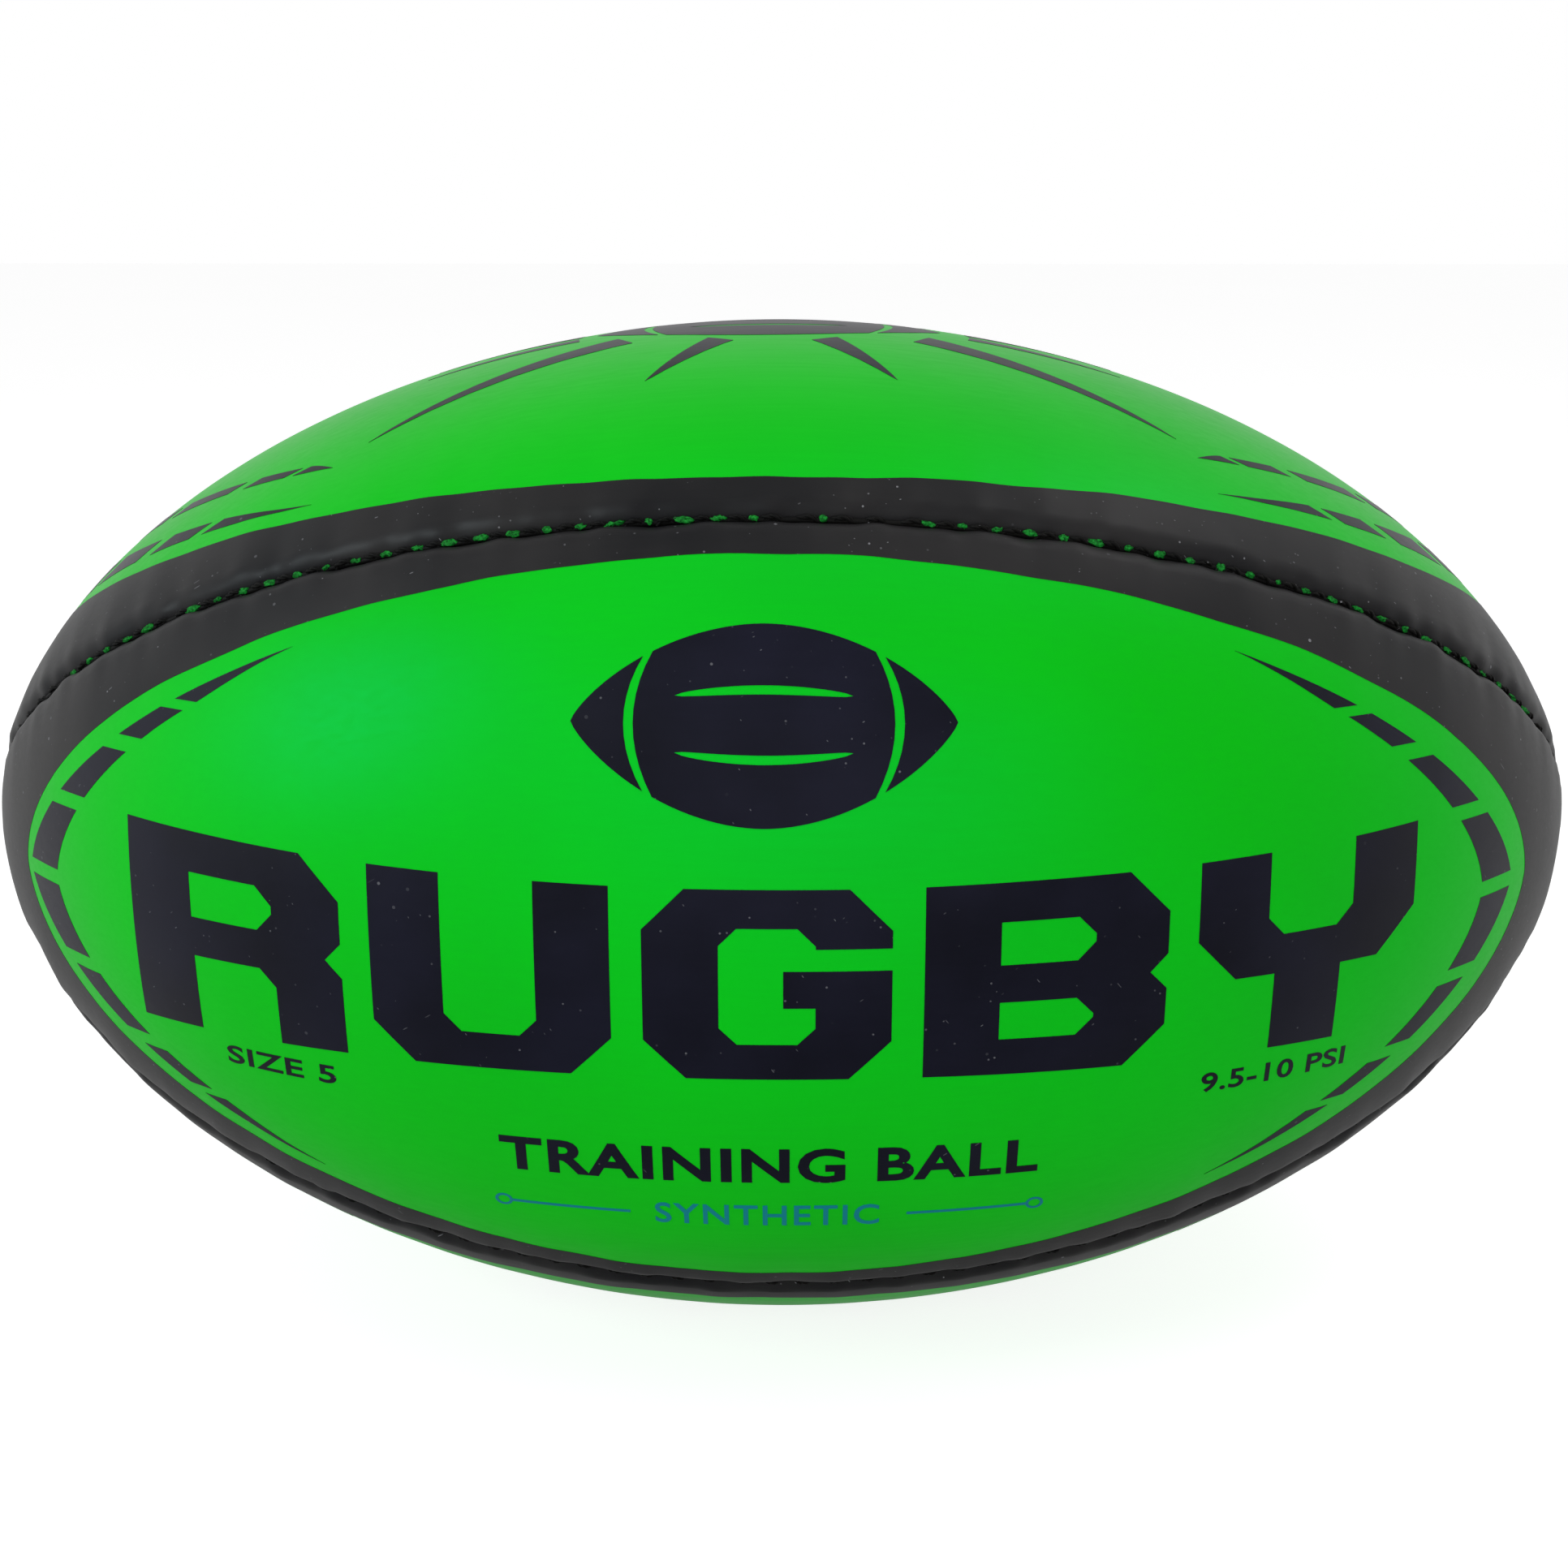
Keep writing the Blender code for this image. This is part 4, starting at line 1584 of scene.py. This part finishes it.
    def _flecks(self) -> bpy.types.NodeTree:
        """Strews rough crumbs of bare green between the stitches, where the print stops short in the fold.

        Returns:
            The tree.
        """
        group, build, start, end = new_group(
            "Bare flecks", "GeometryNodeTree",
            {
                "Guide": ("Geometry", None), "Pitch": ("Float", 5.4 * MM),
                "Size": ("Vector", (1.4 * MM, 0.56 * MM, 0.42 * MM)), "Roughness": ("Float", 1.3 * MM),
                "Keep": ("Float", 0.9), "Seed": ("Int", 0), "Material": ("Material", None),
            },
            ("Geometry", "Geometry"),
        )
        _, places, rotation = self._places(build, start, 0.5)
        ball = build.add("GeometryNodeMeshUVSphere", {"Segments": 12, "Rings": 8, "Radius": 1.0})
        size = self._random(build, start, "FLOAT_VECTOR", dict(enumerate(self.fleck_scale)))
        scale = build.add(
            "ShaderNodeVectorMath", {0: size.outputs[0], 1: start.outputs["Size"]}, operation="MULTIPLY"
        )
        keep = self._random(build, start, "BOOLEAN", {"Probability": start.outputs["Keep"]})
        copies = build.add(
            "GeometryNodeInstanceOnPoints",
            {
                "Points": places, "Instance": ball.outputs[0], "Rotation": rotation,
                "Scale": scale.outputs[0], "Selection": keep.outputs[3],
            },
        )
        real = build.add("GeometryNodeRealizeInstances", {"Geometry": copies.outputs[0]})
        noise = build.add("ShaderNodeTexNoise", {"Scale": self.fleck_noise, "Detail": 3.0})
        centred = build.add(
            "ShaderNodeVectorMath", {0: noise.outputs[1], 1: (0.5, 0.5, 0.5)}, operation="SUBTRACT"
        )
        push = build.add(
            "ShaderNodeVectorMath", {0: centred.outputs[0], "Scale": start.outputs["Roughness"]},
            operation="SCALE",
        )
        rough = build.add("GeometryNodeSetPosition", {"Geometry": real.outputs[0], "Offset": push.outputs[0]})
        self._finish(build, start, end, rough.outputs[0])
        return group


@dataclass
class Seams:
    """The four sewn seams, and the knots that close the tips."""

    shape: BallShape
    relief: Relief
    palette: Palette
    stitch_depth: float = 0.95 * MM
    fleck_depth: float = 1.3 * MM
    end_radius: float = 8.0 * MM
    fleck_end: float = 0.80
    fleck_shares: tuple[float, float, float, float] = (0.96, 0.85, 0.4, 0.0)
    guide_spacing: float = 0.9 * MM
    knot_radius: float = 2.85 * MM
    knot_half_length: float = 2.0 * MM
    knot_centre: float = 145.7 * MM
    knot_segments: int = 24
    winding_radius: float = 0.5 * MM
    winding_tilt: float = 1.2
    winding_points: int = 28
    windings: int = 10

    def guide(self, angle: float, depth: float, reach: float) -> bpy.types.Mesh:
        """A line along a seam at a depth under its ridge, whose points know the outward direction.

        Args:
            angle: The seam's angle about X.
            depth: Depth under the ridge.
            reach: Share of the seam's half length that the line covers.

        Returns:
            A mesh of edges only.
        """
        last = self.shape.station_at(self.end_radius)
        ends = self.relief.seam_length(np.array([-last, last]))
        middle, half = ends.mean(), (ends[1] - ends[0]) / 2 * reach
        pitch = self.relief.pitch
        first = math.ceil((middle - half) / pitch) * pitch
        final = math.floor((middle + half) / pitch) * pitch
        count = round((final - first) / self.guide_spacing)
        station = self.relief.station_of(np.linspace(first, final, count + 1) + pitch / 2)
        turned = np.full_like(station, angle)
        outward = self.shape.normal(station, turned)
        points = self.shape.point(station, turned) - outward * depth
        mesh = bpy.data.meshes.new("guide")
        mesh.from_pydata(points.tolist(), [(i, i + 1) for i in range(count)], [])
        attribute = mesh.attributes.new("outward", "FLOAT_VECTOR", "POINT")
        attribute.data.foreach_set("vector", outward.astype(np.float32).ravel())
        return mesh

    def sewn(
        self, name: str, guide: bpy.types.Mesh, tree: bpy.types.NodeTree, values: dict
    ) -> bpy.types.Object:
        """Runs a tree on a guide line and keeps its result as a plain mesh.

        Args:
            name: The piece's name.
            guide: The line to sew along.
            tree: The Geometry Nodes tree.
            values: The tree's inputs by name.

        Returns:
            The piece.
        """
        piece = bpy.data.objects.new(name, guide)
        bpy.context.scene.collection.objects.link(piece)
        nodes = piece.modifiers.new("sewing", "NODES")
        nodes.node_group = tree
        for item in tree.interface.items_tree:
            if item.item_type == "SOCKET" and item.in_out == "INPUT" and item.name in values:
                nodes[item.identifier] = values[item.name]
        freeze(piece)
        weld(piece.data)
        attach(piece, "ball")
        return piece

    def build_seam(self, side: Side, trees: SeamTrees) -> None:
        """Sews the seam above one panel.

        Args:
            side: The panel.
            trees: The sewing trees.
        """
        angle = SEAM_ANGLE + QUARTER_TURN * side.value
        pair = f"{side.word}_{side.next.word}"
        stitches = self.sewn(
            f"stitches_{pair}", self.guide(angle, self.stitch_depth, 1.0), trees.stitches,
            {"Material": self.palette.thread, "Seed": STITCH_SEED + side.value},
        )
        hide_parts(f"seam_thread_{pair}")
        LOG.info("seam %s: %d faces", pair, len(stitches.data.polygons))
        share = self.fleck_shares[side.value]
        if not share:
            return
        self.sewn(
            f"bare_flecks_{pair}", self.guide(angle, self.fleck_depth, self.fleck_end), trees.flecks,
            {"Material": self.palette.fleck, "Seed": FLECK_SEED + side.value, "Keep": share},
        )
        LOG.info("seam %s: bare flecks", pair)

    def wound_thread(self, random: np.random.Generator) -> bpy.types.Mesh:
        """Winds thread round a knot's core in all directions.

        Args:
            random: Source of the windings' tilts.

        Returns:
            A mesh about the origin.
        """
        curve = bpy.data.curves.new("windings", "CURVE")
        curve.dimensions = "3D"
        curve.bevel_depth = self.winding_radius
        curve.bevel_resolution = 2
        turns = np.linspace(0, 2 * math.pi, self.winding_points + 1)[:-1]
        for _ in range(self.windings):
            tilt = Matrix.Rotation(random.uniform(-self.winding_tilt, self.winding_tilt), 3, "Y")
            tilt = tilt @ Matrix.Rotation(random.uniform(-math.pi, math.pi), 3, "X")
            loop = curve.splines.new("POLY")
            loop.use_cyclic_u = True
            loop.points.add(len(turns) - 1)
            for point, turn in zip(loop.points, turns):
                place = tilt @ Vector((0, math.cos(turn), math.sin(turn))) * self.knot_radius
                place.x *= self.knot_half_length / self.knot_radius
                point.co = (*place, 1)
        wound = bpy.data.objects.new("windings", curve)
        bpy.context.scene.collection.objects.link(wound)
        bpy.context.view_layer.update()
        mesh = bpy.data.meshes.new_from_object(wound.evaluated_get(bpy.context.evaluated_depsgraph_get()))
        bpy.data.objects.remove(wound)
        return mesh

    def build_knot(self, word: str, sign: int) -> None:
        """Builds the knot that fills one tip: a core, with thread wound round it.

        Args:
            word: Left or right.
            sign: Which way the tip lies along X.
        """
        work = bmesh.new()
        bmesh.ops.create_uvsphere(
            work, u_segments=self.knot_segments, v_segments=self.knot_segments // 2, radius=self.knot_radius
        )
        for vertex in work.verts:
            vertex.co.x *= self.knot_half_length / self.knot_radius
        work.from_mesh(self.wound_thread(np.random.default_rng(KNOT_SEED + sign)))
        bmesh.ops.remove_doubles(work, verts=work.verts, dist=WELD_DISTANCE)
        bmesh.ops.recalc_face_normals(work, faces=work.faces)
        work.transform(Matrix.Translation((sign * self.knot_centre, 0, 0)))
        mesh = bpy.data.meshes.new(f"wound_knot_{word}")
        work.to_mesh(mesh)
        work.free()
        mesh.shade_smooth()
        knot = add_piece(f"wound_knot_{word}", mesh, self.palette.thread)
        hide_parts(f"tip_knot_{word}")
        LOG.info("knot %s: %d faces", word, len(mesh.polygons))


# ---------------------------------------------------------------------------------------------------------
# Valve
# ---------------------------------------------------------------------------------------------------------


@dataclass
class Valve:
    """Needle valve in the back panel: a moulded collar and housing, and the plug that pulls out.

    Heights are from the ball's surface. The grooves and the needle's mouth are pairs of a distance sideways
    and a depth below the piece's top.
    """

    shape: BallShape
    palette: Palette
    angle: float = math.radians(156)
    skin_hole: float = 8.0 * MM
    collar_outer: float = 7.7 * MM
    collar_inner: float = 5.3 * MM
    collar_top: float = 0.55 * MM
    collar_bottom: float = -1.6 * MM
    collar_round: float = 0.5 * MM
    collar_inner_round: float = 0.4 * MM
    collar_groove: Offsets = (
        (-0.2 * MM, 0), (-0.05 * MM, 0.18 * MM), (0.25 * MM, 0.18 * MM), (0.4 * MM, 0),
    )
    housing_radius: float = 5.0 * MM
    bore_radius: float = 3.3 * MM
    lip_radius: float = 2.0 * MM
    lip_height: float = 1.2 * MM
    housing_top: float = -0.1 * MM
    housing_bottom: float = -20.0 * MM
    housing_round: float = 0.5 * MM
    flange_radius: float = 16.0 * MM
    flange_top: float = -3.8 * MM
    flange_thickness: float = 1.0 * MM
    flange_slope: float = 1.3 * MM
    plug_radius: float = 3.0 * MM
    plug_top: float = 0.1 * MM
    plug_bottom: float = -18.2 * MM
    plug_groove: Offsets = ((0.9 * MM, 0), (0.75 * MM, 0.175 * MM), (0.6 * MM, 0))
    plug_round: float = 0.35 * MM
    foot_round: float = 1.2 * MM
    needle_radius: float = 0.9 * MM
    needle_depth: float = 12.0 * MM
    needle_mouth: Offsets = ((0, 0.6 * MM), (0.35 * MM, 0.12 * MM), (0.6 * MM, 0.05 * MM))
    round_steps: int = 6
    fine_steps: int = 5
    steps: int = 64
    axis: Matrix = field(init=False)

    def __post_init__(self) -> None:
        """Places the axis on the back panel, pointing outwards."""
        station, angle = np.zeros(1), np.array([self.angle])
        origin = Vector(self.shape.point(station, angle)[0])
        outward = Vector(self.shape.normal(station, angle)[0])
        self.axis = Matrix.Translation(origin) @ outward.to_track_quat("Z", "Y").to_matrix().to_4x4()

    def cut_hole(self, skin: bpy.types.Object) -> None:
        """Opens the skin for the collar.

        Args:
            skin: The back panel's skin.
        """
        work = bmesh.new()
        bmesh.ops.create_cone(
            work, cap_ends=True, segments=self.steps, radius1=self.skin_hole, radius2=self.skin_hole,
            depth=2 * self.skin_hole,
        )
        work.transform(self.axis)
        mesh = bpy.data.meshes.new("hole")
        work.to_mesh(mesh)
        work.free()
        cutter = bpy.data.objects.new("hole", mesh)
        bpy.context.scene.collection.objects.link(cutter)
        cut = skin.modifiers.new("hole", "BOOLEAN")
        cut.operation = "DIFFERENCE"
        cut.object = cutter
        freeze(skin)
        weld(skin.data, SLIVER)
        bpy.data.objects.remove(cutter)
        skin.data.set_sharp_from_angle(angle=TURNED_SHARPNESS)

    def collar_profile(self) -> Points:
        """Draws the collar: a rounded rim with a shallow groove in its top, and a barrel below.

        Returns:
            Points of (radius, height), from the rim outwards.
        """
        middle = (self.collar_outer + self.collar_inner) / 2
        groove = [(middle + aside, self.collar_top - depth) for aside, depth in self.collar_groove]
        big, small = self.collar_round, self.collar_inner_round
        outer = arc((self.collar_outer - big, self.collar_top - big), big, 90, 0, self.round_steps)
        inner = arc((self.collar_inner + small, self.collar_top - small), small, 180, 90, self.round_steps)
        base = [(self.collar_outer, self.collar_bottom), (self.collar_inner, self.collar_bottom)]
        return [*groove, *outer, *base, *inner]

    def housing_profile(self) -> Points:
        """Draws the housing: a barrel with a rounded mouth, a bonded flange and a lip that stops the plug.

        Returns:
            Points of (radius, height), from the mouth outwards.
        """
        rim = self.flange_top - self.flange_slope
        bend = self.housing_round
        height = self.housing_top - bend
        mouth_out = arc((self.housing_radius - bend, height), bend, 90, 0, self.fine_steps)
        mouth_in = arc((self.bore_radius + bend, height), bend, 180, 90, self.fine_steps)
        flange = [
            (self.housing_radius, self.flange_top), (self.flange_radius, rim),
            (self.flange_radius, rim - self.flange_thickness / 2),
            (self.housing_radius, self.flange_top - self.flange_thickness),
        ]
        lip = self.housing_bottom + self.lip_height
        foot = [
            (self.housing_radius, self.housing_bottom), (self.lip_radius, self.housing_bottom),
            (self.lip_radius, lip), (self.bore_radius, lip),
        ]
        return [*mouth_out, *flange, *foot, *mouth_in]

    def plug_profile(self) -> Points:
        """Draws the plug: a needle channel, a top with a ring groove, and a long barrel with a rounded foot.

        Returns:
            Points of (radius, height), from the channel's foot outwards.
        """
        needle, radius, top = self.needle_radius, self.plug_radius, self.plug_top
        channel = [(0, top - self.needle_depth), (needle, top - self.needle_depth + needle)]
        mouth = [(needle + aside, top - depth) for aside, depth in self.needle_mouth]
        groove = [(radius - inset, top - depth) for inset, depth in self.plug_groove]
        edge = arc((radius - self.plug_round, top - self.plug_round), self.plug_round, 90, 0, self.fine_steps)
        low, bend = self.plug_bottom, self.foot_round
        foot = arc((radius - bend, low + bend), bend, 0, -90, self.round_steps)
        return [*channel, *mouth, *groove, *edge, *foot, (0, low)]

    def build(self, skin: bpy.types.Object) -> None:
        """Builds the valve's visible pieces and opens the back skin for them.

        Args:
            skin: The back panel's skin.
        """
        self.cut_hole(skin)
        rings = [
            ("moulded_collar", "valve_collar", self.collar_profile()),
            ("moulded_housing", "valve_housing", self.housing_profile()),
        ]
        for name, node, profile in rings:
            mesh = turned_mesh(name, profile, self.axis, True, self.steps)
            piece = add_piece(name, mesh, self.palette.butyl)
            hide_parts(node)
        mesh = turned_mesh("latex_plug", self.plug_profile(), self.axis, False, self.steps)
        plug = add_piece("latex_plug", mesh, self.palette.plug)
        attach(plug, "plug")
        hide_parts("valve_plug")
        LOG.info("valve: collar, housing and plug")


# ---------------------------------------------------------------------------------------------------------
# Lining, studio and assembly
# ---------------------------------------------------------------------------------------------------------


def dress_inner_nodes(nodes: dict[str, bpy.types.Object], palette: Palette) -> None:
    """Gives the solids that stay, inside the ball, their own finishes.

    Args:
        nodes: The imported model's nodes by name.
        palette: The materials.
    """
    finishes = {"backing": palette.backing, "bladder": palette.butyl, "valve_patch": palette.backing}
    for name, node in nodes.items():
        for start, material in finishes.items():
            if name.startswith(start):
                node.data.materials.clear()
                node.data.materials.append(material)
    LOG.info("inner layers: backings, bladder and patch")


@dataclass(frozen=True)
class Softbox:
    """A rectangular area light aimed at the ball's centre, seen or not seen in the ball's gloss."""

    name: str
    place: tuple[float, float, float]
    size: tuple[float, float]
    power: float
    mirrored: bool = False
    tint: tuple[float, float, float] = (1.0, 1.0, 1.0)

    def build(self) -> None:
        """Links the light."""
        data = bpy.data.lights.new(self.name, "AREA")
        data.shape = "RECTANGLE"
        data.size, data.size_y = self.size
        data.energy = self.power
        data.color = self.tint
        light = bpy.data.objects.new(self.name, data)
        light.location = self.place
        light.visible_glossy = self.mirrored
        light.rotation_euler = (-Vector(self.place)).to_track_quat("-Z", "Y").to_euler()
        bpy.context.scene.collection.objects.link(light)


@dataclass
class Studio:
    """Camera, pale floor, white surround and soft lights."""

    palette: Palette
    distance: float = 0.4305
    elevation: float = 0.2855
    yaw: float = 0.0106
    lens: float = 51.4
    sensor: float = 36.0
    nearest: float = 0.01
    shift: tuple[float, float] = (0.0028, 0.0135)
    floor_half: float = 4.0
    floor_gap: float = 0.2 * MM
    world_span: tuple[float, float] = (-0.65, 0.25)
    world_light: tuple[float, float] = (0.03, 0.85)
    world_falloff: float = 0.8
    world_steepness: float = 2.0
    floor_glow: float = 0.80
    softboxes: tuple[Softbox, ...] = (
        Softbox("left_strip", (-0.85, -0.62, 0.42), (0.3, 0.55), 3.2, True, (0.85, 0.97, 1.0)),
        Softbox("right_strip", (0.62, 0.1, 0.95), (0.3, 0.3), 0.8, True),
        Softbox("overhead", (0.1, -0.4, 1.2), (1.4, 0.9), 4.6),
        Softbox("front_fill", (0.1, -1.3, 0.35), (1.4, 0.8), 9.0),
    )

    def camera(self) -> None:
        """A camera a little above the ball's middle, looking at its centre."""
        data = bpy.data.cameras.new("camera")
        data.lens = self.lens
        data.sensor_width = self.sensor
        data.shift_x, data.shift_y = self.shift
        data.clip_start = self.nearest
        data.dof.use_dof = False
        camera = bpy.data.objects.new("camera", data)
        flat = math.cos(self.elevation)
        place = Vector((flat * math.sin(self.yaw), -flat * math.cos(self.yaw), math.sin(self.elevation)))
        camera.location = place * self.distance
        camera.rotation_euler = (-place).to_track_quat("-Z", "Y").to_euler()
        bpy.context.scene.collection.objects.link(camera)
        bpy.context.scene.camera = camera

    def floor(self) -> None:
        """A large pale plane just under the ball."""
        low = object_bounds()[0][2] - self.floor_gap
        half = self.floor_half
        corners = [(-half, -half, low), (half, -half, low), (half, half, low), (-half, half, low)]
        mesh = mesh_of("floor", np.array(corners), [(0, 1, 2, 3)])
        material = self.palette.floor
        build = TreeBuilder(material.node_tree)
        shader = material.node_tree.nodes["Principled BSDF"]
        shader.inputs["Emission Color"].default_value = (1, 1, 1, 1)
        seen = build.add("ShaderNodeLightPath").outputs["Is Camera Ray"]
        glow = build.math("MULTIPLY", seen, self.floor_glow)
        material.node_tree.links.new(glow, shader.inputs["Emission Strength"])
        mesh.materials.append(material)
        floor = bpy.data.objects.new("floor", mesh)
        bpy.context.scene.collection.objects.link(floor)
        floor.visible_glossy = False
        floor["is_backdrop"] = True

    def surround(self) -> None:
        """A white world: full strength to the eye, and a light that is bright behind and dark in front."""
        world = bpy.data.worlds.new("surround")
        world.use_nodes = True
        build = TreeBuilder(world.node_tree)
        background = world.node_tree.nodes["Background"]
        background.inputs["Color"].default_value = (1, 1, 1, 1)
        direction = build.add("ShaderNodeTexCoord").outputs["Generated"]
        axes = build.add("ShaderNodeSeparateXYZ", {"Vector": direction})
        behind = build.span(axes.outputs["Y"], *self.world_span)
        low, high = self.world_light
        around = build.math("MULTIPLY_ADD", behind, high - low, low)
        steep = build.math("POWER", build.math("ABSOLUTE", axes.outputs["Z"]), self.world_steepness)
        light = build.math("MULTIPLY", around, build.math("MULTIPLY_ADD", steep, -self.world_falloff, 1.0))
        seen = build.add("ShaderNodeLightPath").outputs["Is Camera Ray"]
        strength = build.math("MAXIMUM", light, seen)
        world.node_tree.links.new(strength, background.inputs["Strength"])
        bpy.context.scene.world = world

    def build(self) -> None:
        """Sets up everything that isn't the ball."""
        self.camera()
        self.floor()
        self.surround()
        for softbox in self.softboxes:
            softbox.build()
        bpy.context.scene.view_settings.view_transform = "Standard"
        LOG.info("studio: camera, floor, surround and lights")


def main() -> None:
    """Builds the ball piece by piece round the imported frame."""
    logging.basicConfig(level=logging.INFO, format="%(name)s: %(message)s")
    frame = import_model()
    palette = Palette()
    shape = BallShape()
    relief = Relief(shape)
    cover = PanelCover(shape, relief, FieldOutline(), palette)
    prints = PanelPrints(cover, palette)
    skins = {side: cover.build(side) for side in Side}
    for side in Side:
        prints.build(side)
    seams = Seams(shape, relief, palette)
    trees = SeamTrees()
    for side in Side:
        seams.build_seam(side, trees)
    for word, sign in (("left", -1), ("right", 1)):
        seams.build_knot(word, sign)
    Valve(shape, palette).build(skins[Side.BACK])
    dress_inner_nodes(frame["nodes"], palette)
    Studio(palette).build()


if __name__ == "__main__":
    main()
